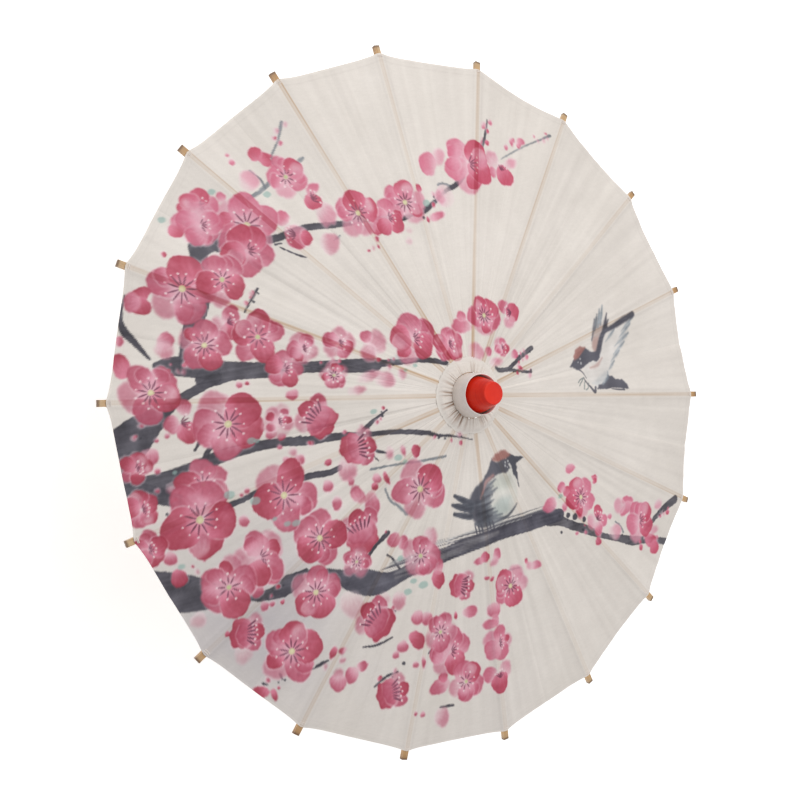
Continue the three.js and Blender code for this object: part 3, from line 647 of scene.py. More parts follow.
patch([(12, 171), (14, 177), (17, 180), (20, 190), (24, 195), (29, 196), (28, 189), (25, 178),
       (24, 165), (22, 153), (19, 156), (18, 165)], SLATE, 0.8, 0.96)
feather([(9, 172, 1), (14, 170, 4), (19, 162, 2)], STEEL_BLUE, 0.6)
brush([(29, 190, 1.2), (27.5, 182, 1.6), (25, 172, 0.8)], SLATE, 0.8, 0.05)
brush([(20, 151, 2.4), (24, 149, 2.8), (19, 145, 2.2), (13, 140, 1.4), (9, 138, 1.0)], SLATE, 0.9, 0.1)
for points in ([(9, 138), (10, 133), (12, 130)], [(12, 139), (16, 137), (19, 136)],
               [(15, 143), (19, 141), (20, 138)], [(10, 137), (13, 133), (15, 131)]):
    brush([(x, y, 1.2) for x, y in points], CLAW_GREY, 0.8, 0.05)

# The perched bird, its claws on the bough.
patch([(66, 34), (76, 39), (88, 39), (97, 36), (105, 29), (109, 18), (108, 4), (100, -2), (84, 0),
       (75, 6), (69, 20)], (214, 211, 203), 1.6, 0.95)
patch([(74, 32), (84, 32), (84, 18), (78, 10), (71, 20)], (186, 190, 180), 4, 0.55)
patch([(92, 30), (104, 28), (107, 14), (98, 8), (90, 20)], (178, 188, 184), 4, 0.7)
patch([(72, 2), (80, 2), (92, 2), (104, 6), (110, 10), (108, -6), (98, -14), (90, -16), (82, -11),
       (76, -6)], SLATE, 1.6, 0.97)
for k, (x, length) in enumerate(((78, 9), (81, 16), (84, 13), (87, 17), (90, 11), (93, 13), (96, 9),
                                 (99, 13), (101.5, 15), (104, 20), (106, 24))):
    lean = 0.26 - 0.03 * k
    feather([(x, -4, 5), (x - length * lean, length * 0.5, 4), (x - length * 2 * lean, length, 0.8)],
            (104, 108, 117), 0.75)
for k, x in enumerate((82, 88, 94, 99, 104)):
    feather([(x, -6, 5), (x - 1, 2, 3), (x - 3 + 0.5 * k, 9 + 2 * (k % 2), 0.8)], (76, 76, 86), 0.75)
patch([(56, 14), (62, 19), (69, 24), (72, 14), (76, 4), (84, 0), (88, -12), (79, -8), (74, 0),
       (65, 9)], SLATE, 1.0, 0.97)
brush([(99, 36, 1), (104, 31, 2), (107.5, 25, 2.4), (109.5, 12, 2.4), (109.5, -2, 3), (106, -9, 3)],
      (92, 95, 104), 0.85, 0.05, soft=0.8)
feather([(70, 14, 3), (74, 6, 3.4), (80, 2, 2), (86, -2, 1)], (178, 136, 132), 0.7)
for points in ([(89, -10, 5), (84, -18, 5.5), (78, -27, 3)], [(93, -12, 6), (89, -21, 6), (85, -30, 3)],
               [(99, -13, 5), (96, -21, 5), (93, -29, 3)]):
    brush(points, (92, 95, 105), 0.95, 0.1, soft=0.6)
    feather([(x, y, width * 0.5) for x, y, width in points], (70, 70, 80), 0.5)
patch([(62, 49), (65, 41), (74, 41), (82, 41), (87, 41.5), (79, 39.5), (73, 36), (66, 35), (61, 29),
       (57, 30), (56, 34), (59, 40), (60, 44)], (78, 78, 87), 0.7, 0.97)
patch([(57, 35), (52, 30), (51, 24), (53, 18), (57, 14), (60, 20), (60, 28)], RUST, 1.4, 0.95)
patch([(59, 29), (68, 33), (71, 28), (69, 21), (60, 17)], SLATE, 1.0, 0.95)
for x, y, r in ((61.5, 31.5, 0.9), (64.5, 33, 0.8), (62, 28.2, 0.9), (64.6, 27.6, 1.1), (66.4, 30, 0.7)):
    blot(x, y, r, (208, 206, 206), 0.8, soft=0.5)
for y in (9.5, 6, 2, -3, -6, -9):
    brush([(108, y - 0.8, 1.2), (112, y, 1.4), (115, y + 0.3, 0.9)], SLATE, 0.9, 0.05)

# Slow variation of the wash and of the paper itself, a little stronger in blue.
canvas += (1.6 * cloud + 0.7 * mottle)[..., None] * np.array([1.0, 1.0, 1.05], np.float32)
PAINTING = linear(np.clip(canvas, 0, 255)).astype(np.float32)

# ---- Canopy ----
# In the frame of one rib: u runs out along it and v across it, both level, in millimetres.
ROWS = 270
WING_COLUMNS = 52
STRIP_COLUMNS = 8
UNDER_EVERY = 3  # the underside has one row for this many above
POLAR_SHAPE = (320, 2880)  # millimetres of radius, eighths of a degree
SAG = 3.2  # of the paper between two ribs, at the rim
RIM_BOW = 0.7  # how far the rim stands out half way between two ribs, which evens out the sag
HEM = 6.0
CORNER_REACH = 1.3  # how far a panel's corner is drawn out over its rib, on average
CORNER_SIDE = math.radians(250)  # where the corners are drawn out most
STRIP_STEP = 0.22  # fall from the strip to the single paper beside it
MIDDLE_CREASE = 0.3
RADIAL_FOLD, FINE_FOLD, SWELL, COCKLE = 0.16, 0.07, 0.55, 0.05  # heights of the paper's ripples
HEM_STEP = 0.16
UNDER_PAPER = (216, 202, 184)
UNDER_SHOW = 0.38  # how much of the painting shows through
RIB_LOSS = np.array([0.62, 1.0, 1.35])  # red, green and blue lost where a rib shows through and along its painted shadow line
DYE_LOSS = np.array([0.4, 1.0, 0.85])  # lost where pink paper lies double
SHADE_LOSS = np.array([0.95, 1.0, 1.0])


def wrapped(noise):
    """The noise with its first column again at the end, so that it can be read all round."""
    return np.hstack([noise, noise[:, :1]])


radial_folds = wrapped(soft_noise(POLAR_SHAPE, (150, 12), 5))
fine_folds = wrapped(soft_noise(POLAR_SHAPE, (60, 5), 6))
swell = wrapped(soft_noise(POLAR_SHAPE, (110, 60), 7))


def polar(noise, x, y):
    """Noise laid out by angle and radius, read at places on the plan."""
    angle = np.degrees(np.arctan2(y, x)) % 360
    return sampled(noise, angle * 8, np.hypot(x, y))


def plan(grid, x, y):
    """A grid of the canvas's size, read at places on the plan."""
    return sampled(grid, (x + REACH) / STEP, (y + REACH) / STEP)


def to_plan(u, v, angle):
    """Places given along and across the rib at this angle, as x and y."""
    c, s = math.cos(angle), math.sin(angle)
    return u * c - v * s, u * s + v * c


def cone_height(u, v, lift):
    """The height of the flat panel between two ribs, lifted off their upper faces."""
    reach = u + np.abs(v) * HALF_TAN
    return PIVOT_Z + (RIB_TOP + lift) / math.cos(SLOPE) - (reach - PIVOT_RADIUS) * math.tan(SLOPE)


def corner_reach(angle):
    """How far past the even outline a panel's corner is drawn out, over the rib at this angle."""
    return CORNER_REACH + CORNER_REACH * math.cos(angle - CORNER_SIDE)


def rim_reach(t, angle):
    """The rim's reach, from the strip's edge at t = 0 to the middle of the panel at t = 1."""
    return PAPER_RADIUS + corner_reach(angle) * (1 - t) ** 5 + RIM_BOW * t * (2 - t)


def rim_distance(u, v, angle):
    """How far inside the rim a place lies."""
    away = np.abs(v)
    t = np.clip((away - STRIP_HALF) / np.maximum(u * HALF_TAN - STRIP_HALF, 0.3), 0, 1)
    return (rim_reach(t, angle) - u - away * HALF_TAN) * math.cos(PITCH / 2)


def paper_height(u, v, angle):
    """The paper's upper face: it sags between the ribs, ripples, and is double at the hem."""
    x, y = to_plan(u, v, angle)
    away = np.maximum(np.abs(v) - STRIP_HALF, 0)
    width = np.maximum(u * HALF_TAN - STRIP_HALF, 0.3)
    t = np.clip(away / width, 0, 1)
    free = 1 - np.exp(-away / 4)
    outward = ease(20, 120, u)
    height = cone_height(u, v, PAPER_LIFT)
    height = height - SAG * (u / PAPER_RADIUS) ** 1.4 * t * (2 - t)
    height = height - STRIP_STEP * (1 - np.exp(-away / 2.2))
    height = height - MIDDLE_CREASE * outward * np.exp(-(width - away) / 1.6)
    ripple = RADIAL_FOLD * polar(radial_folds, x, y) + FINE_FOLD * polar(fine_folds, x, y)
    broad = SWELL * polar(swell, x, y) + COCKLE * plan(mottle, x, y)
    height = height + free * ripple + free * outward * broad
    return height + HEM_STEP * ease(HEM + 0.6, HEM - 0.6, rim_distance(u, v, angle))


def tinted(u, v, angle, under):
    """The colour of the paper: the painting, the ribs that show through, a painted shadow line by each rib,
    and painted shade on the hem and the folds.
    """
    x, y = to_plan(u, v, angle)
    colour = plan(PAINTING, x, y)
    away = np.abs(v)
    if under:
        return linear(UNDER_PAPER) + UNDER_SHOW * (colour - linear(PAPER))
    fine, broad = polar(fine_folds, x, y), polar(swell, x, y)
    # The rib shows through as a band with darker sides, and a thin line of painted shadow runs along one side
    # of it.
    rib = 0.12 * ease(2.0, 0.9, away) + 0.13 * (0.8 + 0.3 * fine) * np.exp(-(((away - 1.5) / 0.6) ** 2))
    rib_shadow_strength = np.clip(0.6 + 0.7 * broad, 0.1, 1.8)
    # Painted shadow: a thin dark line along one side of the rib.
    rib = rib + 0.13 * rib_shadow_strength * np.exp(-(((v + 1.7 * math.sin(2.2 * angle)) / 0.45) ** 2))
    rib = rib * (0.75 + 0.8 * ease(110, 20, u)) * (1 + 0.3 * broad)
    # Pink dye hides the rib, but is twice as deep on the double paper.
    pink = np.clip((colour[..., 0] - colour[..., 1] - 0.08) / 0.35, 0, 1)
    rib = rib * (1 - 0.75 * pink)
    double = 0.5 * pink * np.clip(0.75 + 0.4 * broad, 0.15, 1.2) * ease(2.8, 2.2, away)
    # Shade beside the strip and on the hem, a pale cut edge, and a little on every fold.
    edge = rim_distance(u, v, angle)
    shade = 0.05 * np.exp(-(((away - STRIP_HALF - 1.6) / 1.2) ** 2))
    shade = shade + 0.05 * np.exp(-(((edge - HEM) / 0.6) ** 2)) + 0.02 * ease(HEM, 1.5, edge)
    shade = shade - 0.1 * ease(1.5, 0.6, edge) * np.clip(1 + 0.4 * fine, 0, 1.5)
    shade = shade + 0.012 * polar(radial_folds, x, y) + 0.014 * fine
    lost = double[..., None] * DYE_LOSS
    # The rib's band and its painted shadow line.
    lost = lost + np.clip(rib, 0, 0.5)[..., None] * RIB_LOSS
    lost = lost + np.clip(shade, -0.12, 0.6)[..., None] * SHADE_LOSS
    return colour * (1 - lost)


def build(name, points, faces, colours):
    """A mesh piece from points in millimetres and lists of same-sided faces."""
    mesh = bpy.data.meshes.new(name)
    mesh.vertices.add(len(points))
    mesh.vertices.foreach_set("co", (np.asarray(points) * MM).astype(np.float32).ravel())
    sides = np.concatenate([np.full(len(f), np.asarray(f).shape[1]) for f in faces])
    corners = np.concatenate([np.asarray(f).ravel() for f in faces]).astype(np.int32)
    mesh.loops.add(len(corners))
    mesh.loops.foreach_set("vertex_index", corners)
    mesh.polygons.add(len(sides))
    starts = np.concatenate([[0], np.cumsum(sides)[:-1]]).astype(np.int32)
    mesh.polygons.foreach_set("loop_start", starts)
    mesh.update(calc_edges=True)
    mesh.validate()
    mesh.shade_smooth()
    mesh.set_sharp_from_angle(angle=math.radians(40))
    if colours is not None:
        paint = mesh.color_attributes.new("paint", "FLOAT_COLOR", "POINT")
        full = np.ones((len(points), 4), np.float32)
        full[:, :3] = np.clip(colours, 0, 1)
        paint.data.foreach_set("color", full.ravel())
    piece = bpy.data.objects.new(name, mesh)
    bpy.context.scene.collection.objects.link(piece)
    return piece


def finish_piece(piece, material, body, node):
    """Give a piece its material and body, and hide the CAD node that it stands for, if any."""
    piece.data.materials.append(material)
    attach(piece, body)
    if node:
        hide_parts(node)


def sheet_area(u, v, top):
    """The area of a grid of points, in square metres, from its two rows of triangles."""
    area = 0.0
    for i, j in (((slice(1, None), slice(None, -1)), (slice(1, None), slice(1, None))),
                 ((slice(1, None), slice(1, None)), (slice(None, -1), slice(1, None)))):
        ax, ay = u[i] - u[:-1, :-1], v[i] - v[:-1, :-1]
        bx, by = u[j] - u[:-1, :-1], v[j] - v[:-1, :-1]
        az, bz = top[i] - top[:-1, :-1], top[j] - top[:-1, :-1]
        cross = (ay * bz - az * by) ** 2 + (az * bx - ax * bz) ** 2 + (ax * by - ay * bx) ** 2
        area += float(np.sqrt(cross).sum()) / 2
    return area * MM**2


def shell(name, u, v, top, under, angle, paint_top, paint_under, bulge):
    """A thin closed sheet over a grid of rows out and columns across, folded round its last row."""
    rows, columns = u.shape
    sparse = np.arange(0, rows, UNDER_EVERY)
    rim_u = u[-1] + bulge
    rings_u = np.vstack([u, rim_u[None], u[sparse[::-1]]])
    rings_v = np.vstack([v, (v[-1] * rim_u / u[-1])[None], v[sparse[::-1]]])
    rings_z = np.vstack([top, ((top[-1] + under[-1]) / 2)[None], under[sparse[::-1]]])
    x, y = to_plan(rings_u, rings_v, angle)
    points = np.stack([x, y, rings_z], -1).reshape(-1, 3)
    colours = np.vstack([paint_top, paint_top[-1:], paint_under[sparse[::-1]]]).reshape(-1, 3)
    count = len(rings_u)
    index = np.arange(count * columns).reshape(count, columns)
    following = np.roll(index, -1, 0)
    quads = np.stack([index[:, :-1], following[:, :-1], following[:, 1:], index[:, 1:]], -1)
    quads = quads.reshape(-1, 4)
    walls, caps = [], []
    for column, turn in ((0, -1), (columns - 1, 1)):
        ring = index[:, column]
        for low, high in zip(sparse, sparse[1:]):
            below = [ring[rows + 1 + (rows - 1 - i) // UNDER_EVERY] for i in (high, low)]
            walls.append([*ring[low : high + 1], *below][::turn])
        caps.append([ring[rows - 1], ring[rows], ring[rows + 1]][::turn])
    faces = [quads, np.array(walls), np.array(caps)]
    a, b, c = (points[quads[0, k]] for k in (0, 1, 2))
    if np.cross(b - a, c - a)[2] < 0:
        faces = [f[:, ::-1] for f in faces]
    return build(name, points, faces, colours)


def paper_piece(name, v_low, v_high, u_low, u_high, across, angle):
    """Paper over a rib's length between two edges; v_low and v_high are functions of u."""
    s = np.linspace(0, 1, ROWS + 1)[:, None]
    u = u_low + (u_high - u_low) * s
    v = v_low(u) + (v_high(u) - v_low(u)) * across
    top = paper_height(u, v, angle)
    under = top - PAPER_THICKNESS
    above, below = tinted(u, v, angle, False), tinted(u, v, angle, True)
    piece = shell(name, u, v, top, under, angle, above, below, PAPER_THICKNESS * 0.3)
    return piece, sheet_area(u, v, top)


def canopy_section(k, material):
    """The paper strip glued to one rib, and the half panel on each side of it."""
    angle = k * PITCH
    body = f"rib_{k + 1:02d}"
    across = np.linspace(-1, 1, STRIP_COLUMNS + 1)[None, :]
    edge = STRIP_HALF * across
    strip, _ = paper_piece(
        f"canopy_strip_{k + 1:02d}", lambda u: -STRIP_HALF + 0 * u, lambda u: STRIP_HALF + 0 * u,
        np.sqrt(PAPER_START**2 - edge**2),
        PAPER_RADIUS + corner_reach(angle) - np.abs(edge) * HALF_TAN,
        (across + 1) / 2, angle)
    made = [strip]
    x = np.linspace(0, 1, WING_COLUMNS + 1)[None, :]
    t = 0.75 * x + 0.25 * x * x
    far = (rim_reach(t, angle) - STRIP_HALF * HALF_TAN * (1 - t)) / (1 + HALF_TAN**2 * t)
    near = np.sqrt(PAPER_START**2 - (STRIP_HALF + (PAPER_START * HALF_TAN - STRIP_HALF) * t) ** 2)
    for side, label in ((1, "a"), (-1, "b")):
        wing, area = paper_piece(
            f"canopy_panel_{k + 1:02d}{label}", lambda u: side * STRIP_HALF + 0 * u,
            lambda u: side * u * HALF_TAN, near, far, t, angle)
        made.append(wing)
    for piece in made:
        finish_piece(piece, material, body, "canopy")
    for side, wing in zip((1, -1), made[1:]):
        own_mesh(wing)


# The pleated patch over the ribs' roots, one piece for each rib.
PATCH_IN, PATCH_OUT = 18.95, 32.0
PATCH_LIFT = 2.5  # its upper face above the ribs' tops
PATCH_THICKNESS = 0.3
PLEATS = 46
PATCH_CREAM, PATCH_BROWN = (225, 216, 208), (150, 118, 96)
STAIN_AND_SHADE_SIDE = math.radians(285)  # where the patch is darkest, from stain and from painted shade in its pleats
around = soft_noise((1, POLAR_SHAPE[1]), (1, 70), 8)[0]
depth_around = soft_noise((1, POLAR_SHAPE[1]), (1, 110), 9)[0]
torn_around = soft_noise((1, POLAR_SHAPE[1]), (1, 9), 10)[0]
uneven_around = soft_noise((1, POLAR_SHAPE[1]), (1, 42), 11)[0]


def patch_section(k, material):
    """The pleated patch's part over one rib."""
    angle = k * PITCH
    body = f"rib_{k + 1:02d}"
    columns, rows = ((91, 37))
    turn = np.linspace(-PITCH / 2, PITCH / 2, columns)[None, :]
    s = np.linspace(0, 1, rows)[:, None]
    at = np.rint((np.degrees(turn + angle) % 360) * 8).astype(int) % POLAR_SHAPE[1]
    edge = PATCH_OUT - 0.35 * np.abs(torn_around[at]) + 0.35 * depth_around[at]
    radius = PATCH_IN + (edge - PATCH_IN) * s
    phase = PLEATS * (turn + angle) + 3.0 * around[at]
    uneven = np.clip(0.8 + 0.55 * uneven_around[at], 0.1, 1.7)
    fine = 0.5 + 0.5 * np.cos(2.0 * phase + 1.4 * depth_around[at])
    ridge = 0.5 + 0.5 * np.cos(phase + 0.5 * np.sin(phase * 0.5) * (radius - PATCH_IN) / 6)
    groove = 0.8 * (1 - ridge) ** 1.6 + 0.25 * (1 - fine) ** 2
    hold = ease(29.4 + 0.9 * depth_around[at], 23.5 + 0.9 * depth_around[at], radius)
    u, v = radius * np.cos(turn), radius * np.sin(turn)
    lift = PATCH_LIFT - 1.55 * ease(26.5, PATCH_OUT, radius) + 0 * turn
    # Partly a stain and partly painted shade in the pleats, strongest on one side.
    stain_and_shade = 0.34 + 0.5 * np.cos(turn + angle - STAIN_AND_SHADE_SIDE) + 0.22 * depth_around[at]
    stain_and_shade = np.clip(stain_and_shade, 0.06, 0.95)
    deep = (0.4 + 0.6 * stain_and_shade + 0.1 * np.clip(depth_around[at], -1.5, 1.5)) * hold * (0.4 + 0.6 * uneven)
    top = cone_height(radius, 0 * turn, lift) - deep * groove
    top = top - 0.05 * np.abs(around[at]) * hold
    under = top - PATCH_THICKNESS
    cream, brown = linear(PATCH_CREAM), linear(PATCH_BROWN)
    # Brown in the pleats' grooves, partly stain and partly painted shade in the folds.
    mix = stain_and_shade * uneven * (1 - ridge) ** 1.4 * (0.2 + 0.8 * ease(31.5, 22, radius))
    # Darker still by the collar's foot, partly stain and partly painted shade.
    mix = mix + 0.25 * stain_and_shade * ease(21.5, 19.2, radius)
    x, y = to_plan(u, v, angle)
    bled = plan(PAINTING, x, y) - linear(PAPER)
    colour = cream + (brown - cream) * np.clip(mix, 0, 1)[..., None] + 0.45 * bled
    band = ease(28.8, 31.2, radius)[..., None]
    colour = colour + band * (linear(PAPER) + 0.7 * bled - colour)
    piece = shell(f"pleated_patch_{k + 1:02d}", u, v, top, under, angle, colour, colour, 0.1)
    area = sheet_area(u, v, top)
    finish_piece(piece, material, body, "gather_ring")
    at = Vector((*to_plan(PIVOT_RADIUS, 0, angle), PIVOT_Z)) * MM
    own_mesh(piece)


# ---- Lashings ----
LASHING_START = 286.6  # distance from the shaft
LASHING_PITCH = 0.62
THREAD_RADIUS = 0.24
THREAD_SIDES = 6
THREAD_CREAM = (236, 226, 218)
LOOP_HALF_WIDTH, LOOP_HALF_HEIGHT, LOOP_MIDDLE = 2.8, 2.42, 0.66  # round the rib and the paper
POINTS_PER_TURN = 20


def squared(wave):
    """A sine or cosine made flatter, so that a circle becomes a square with round corners."""
    return np.sign(wave) * np.abs(wave) ** 0.4


def lashing(k, material):
    """A thread wound round a rib and the corner of the paper on it."""
    angle, turns = k * PITCH, 3 + k % 2
    draw = np.random.default_rng(SEED + 40 + k)
    t = np.arange(turns * POINTS_PER_TURN + 1) / POINTS_PER_TURN
    v = LOOP_HALF_WIDTH * squared(np.cos(2 * math.pi * t))
    height = LOOP_MIDDLE + LOOP_HALF_HEIGHT * squared(np.sin(2 * math.pi * t))
    uneven = 0.35 * draw.standard_normal() + 0.12 * np.sin(2.3 * t + k)
    u = LASHING_START + corner_reach(angle) + LASHING_PITCH * t + uneven
    x, y = to_plan(u, v, angle)
    z = PIVOT_Z + height / math.cos(SLOPE) - (u - PIVOT_RADIUS) * math.tan(SLOPE)
    path = np.stack([x, y, z], -1)
    run = np.gradient(path, axis=0)
    run = run / np.linalg.norm(run, axis=1)[:, None]
    side = np.cross(run, [math.cos(angle), math.sin(angle), 0.0])
    side = side / np.linalg.norm(side, axis=1)[:, None]
    up = np.cross(side, run)
    turn = np.arange(THREAD_SIDES)[None, :, None] * 2 * math.pi / THREAD_SIDES
    rings = path[:, None] + THREAD_RADIUS * (np.cos(turn) * side[:, None] + np.sin(turn) * up[:, None])
    index = np.arange(len(path) * THREAD_SIDES).reshape(-1, THREAD_SIDES)
    beside = np.roll(index, -1, 1)
    quads = np.stack([index[:-1], beside[:-1], beside[1:], index[1:]], -1).reshape(-1, 4)
    colours = np.tile(linear(THREAD_CREAM), (rings.size // 3, 1))
    faces = [quads, index[:1], index[-1:, ::-1]]
    piece = build(f"lashing_{k + 1:02d}", rings.reshape(-1, 3), faces, colours)
    finish_piece(piece, material, f"rib_{k + 1:02d}", None)


# ---- Turned pieces ----
FILLET_POINTS = 5


def turned(name, profile, segments, wobble=None, colours=None):
    """A solid of revolution; the profile is (radius, height) points that end on the axis or close."""
    profile = np.array(profile, float)
    on_axis = profile[0, 0] == 0 and profile[-1, 0] == 0
    body = profile[1:-1] if on_axis else profile
    turn = np.linspace(0, 2 * math.pi, segments, endpoint=False)[None, :]
    radius, z = body[:, :1] + 0 * turn, body[:, 1:] + 0 * turn
    if wobble:
        radius, z = wobble(radius, z)
    points = np.stack([radius * np.cos(turn), radius * np.sin(turn), z], -1).reshape(-1, 3)
    index = np.arange(len(body) * segments).reshape(len(body), segments)
    beside = np.roll(index, -1, 1)
    if on_axis:
        low, high = index[:-1], index[1:]
        near, far = beside[:-1], beside[1:]
        ends = np.array([[0, 0, profile[0, 1]], [0, 0, profile[-1, 1]]])
        points = np.vstack([points, ends])
        first, last = len(points) - 2, len(points) - 1
        fans = [[first, b, a] for a, b in zip(index[0], beside[0])]
        fans += [[last, a, b] for a, b in zip(index[-1], beside[-1])]
    else:
        low, high = index, np.roll(index, -1, 0)
        near, far = beside, np.roll(beside, -1, 0)
        fans = []
    quads = np.stack([low, near, far, high], -1).reshape(-1, 4)
    faces = [quads] + ([np.array(fans)] if fans else [])
    return build(name, points, faces, None if colours is None else colours(points))


def rounded(corners):
    """A profile whose (radius, height, fillet) corners are rounded off."""
    made = []
    for i, (r, z, fillet) in enumerate(corners):
        here = np.array([r, z])
        if fillet == 0 or i in (0, len(corners) - 1):
            made.append(here)
            continue
        back = np.array(corners[i - 1][:2]) - here
        on = np.array(corners[i + 1][:2]) - here
        size = min(fillet, 0.49 * np.hypot(*back), 0.49 * np.hypot(*on))
        a, b = here + back / np.hypot(*back) * size, here + on / np.hypot(*on) * size
        for t in np.linspace(0, 1, FILLET_POINTS):
            made.append((1 - t) ** 2 * a + 2 * t * (1 - t) * here + t * t * b)
    return made


def in_mm(node):
    """The lowest and the highest corner of a CAD node's box."""
    low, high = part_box(node)
    return np.array(low) / MM, np.array(high) / MM


def top_cap(material):
    """A flat-topped cone with a bead at its foot and a socket for the shaft."""
    low, high = in_mm("top_cap")
    foot, top, wide = low[2], high[2], high[0]
    socket = foot + 12
    profile = rounded([
        (0, socket, 0), (BORE_RADIUS, socket, 0), (BORE_RADIUS, foot, 0.3), (wide - 0.7, foot, 0.5),
        (wide, foot + 0.9, 0.8), (wide - 0.15, foot + 2.4, 0.9), (9.35, top - 0.6, 0.8),
        (8.9, top, 0.45), (8.0, top, 0.3), (7.7, top - 0.12, 0.2), (0, top - 0.12, 0)])
    piece = turned("top_cap_lacquered", profile, 128)
    finish_piece(piece, material, "frame", "top_cap")


COLLAR_SHADED_FOOT, COLLAR_TOP = (236, 224, 214), (243, 236, 230)  # its colours, the foot's darker with painted shade


def collar(material):
    """Paper wound round the head's neck, a little crushed."""
    low, high = in_mm("head_collar")
    foot, top, wide = low[2], high[2], high[0]
    rise = top - foot
    outer = [(wide - 1.5 * t, foot + rise * t, 0) for t in np.linspace(0, 0.94, 30)]
    lip = [(wide - 1.42, top - 0.35, 0), (wide - 1.62, top, 0), (wide - 1.95, top + 0.05, 0),
           (wide - 2.2, top - 0.25, 0)]
    inner = [(wide - 2.3 + 0.5 * t, top - 0.6 - (rise - 1) * t, 0) for t in np.linspace(0, 1, 14)]
    profile = [(r, z) for r, z, _ in outer + lip + inner]
    bumps = soft_noise((len(profile), 160), (8, 14), 10)
    ripple = soft_noise((len(profile), 160), (16, 4), 11)

    def wobble(radius, z):
        crush = 0.10 * bumps + 0.05 * ripple
        return radius + np.clip(crush, -0.22, 0.22), z + 0.16 * bumps[:1] * ease(foot, top, z)

    def colours(points):
        t = ease(foot, top, points[:, 2])[:, None]
        tint = (0.5 + 0.5 * bumps.reshape(-1)[: len(points)])[:, None]
        # Painted shade: the paper darkens towards its foot.
        base = linear(COLLAR_SHADED_FOOT) * (1 - t) + linear(COLLAR_TOP) * t
        return base * (1 - 0.045 * np.clip(tint, 0, 1.5))

    piece = turned("paper_collar", profile, 160, wobble, colours)
    finish_piece(piece, material, "frame", "head_collar")


def handle(material):
    """A waisted grip with two grooves and a bore for the shaft's foot."""
    _, high = in_mm("handle")
    top, wide = high[2], high[0]
    bore_end = top - 42.3
    groove = 0.5
    outline = [
        (0, 0, 0), (8.4, 0, 0.5), (10.2, 0.9, 1.2), (wide - 0.2, 5, 2), (wide, 9, 1),
        (10.6, 12.2, 0.4), (10.6 - groove, 12.8, 0.3), (10.5, 13.4, 0.4),
        (9.4, 22, 4), (9.2, 30, 4), (9.4, 42, 4), (10.1, 52, 2), (10.3, 55.2, 0.4),
        (10.3 - groove, 55.8, 0.3), (10.4, 56.4, 0.4), (10.6, 60, 1), (10.3, 67, 1.5),
        (8.8, top - 0.3, 0.6), (8.2, top, 0.3), (BORE_RADIUS, top, 0.2), (BORE_RADIUS, bore_end, 0.2),
        (0, bore_end, 0)]
    piece = turned("turned_handle", rounded(outline), 96)
    finish_piece(piece, material, "frame", "handle")


def shaft_joints(material):
    """The low rings that bamboo has where its joints were."""
    for k, z in enumerate(SHAFT_JOINTS):
        profile = [(5.7, z - 1.6), (6.04, z - 1.3), (6.2, z - 0.7), (6.06, z), (6.2, z + 0.7),
                   (6.04, z + 1.3), (5.7, z + 1.6)]
        piece = turned(f"bamboo_joint_{k + 1}", profile, 64)
        finish_piece(piece, material, "frame", None)


# ---- Materials ----
class Nodes:
    """A short way to lay out a node material."""

    def __init__(self, name):
        self.material = bpy.data.materials.new(name)
        self.material.use_nodes = True
        self.tree = self.material.node_tree
        self.shader = self.tree.nodes["Principled BSDF"]

    def add(self, kind, **inputs):
        """A shader node; each keyword is one of its settings or inputs."""
        node = self.tree.nodes.new("ShaderNode" + kind)
        for key, value in inputs.items():
            if hasattr(node, key) and key not in node.inputs:
                setattr(node, key, value)
                continue
            self.put(node.inputs[key if key in node.inputs else key.replace("_", " ")], value)
        return node

    def put(self, socket, value):
        """Link another node's output to the socket, or set a constant on it."""
        if isinstance(value, bpy.types.NodeSocket):
            self.tree.links.new(value, socket)
        else:
            socket.default_value = value

    def math(self, operation, a, b=0.0):
        node = self.tree.nodes.new("ShaderNodeMath")
        node.operation = operation
        for socket, value in zip(node.inputs, (a, b)):
            self.put(socket, value)
        return node.outputs[0]

    def mix(self, factor, a, b, blend="MIX"):
        node = self.tree.nodes.new("ShaderNodeMix")
        node.data_type = "RGBA"
        node.blend_type = blend
        for socket, value in ((node.inputs[0], factor), (node.inputs[6], a), (node.inputs[7], b)):
            self.put(socket, value)
        return node.outputs[2]

    def noise(self, vector, scale, detail, roughness=0.55):
        node = self.add("TexNoise", Vector=vector, Scale=scale, Detail=detail, Roughness=roughness)
        return node.outputs["Fac"]

    def stretch(self, vector, scale):
        node = self.add("Mapping", Vector=vector)
        node.inputs["Scale"].default_value = scale
        return node.outputs["Vector"]

    def ramp(self, factor, low, high, out_low=0.0, out_high=1.0):
        """A straight line from out_low where the factor is low to out_high where it is high."""
        node = self.add("MapRange", Value=factor)
        values = (low, high, out_low, out_high)
        for label, value in zip(("From Min", "From Max", "To Min", "To Max"), values):
            node.inputs[label].default_value = value
        return node.outputs[0]

    def bump(self, height, strength, distance):
        return self.add("Bump", Height=height, Strength=strength, Distance=distance).outputs["Normal"]

    def finish(self, color=None, roughness=None, normal=None, **constants):
        for label, value in (("Base Color", color), ("Roughness", roughness), ("Normal", normal)):
            if value is not None:
                self.put(self.shader.inputs[label], value)
        for label, value in constants.items():
            self.shader.inputs[label.replace("_", " ")].default_value = value
        return self.material

    @property
    def place(self):
        """The point's own place in the piece, in metres."""
        return self.add("TexCoord").outputs["Object"]


def rgb(*colour):
    """A colour of 0 to 255 as a socket wants it."""
    return (*linear(colour), 1.0)


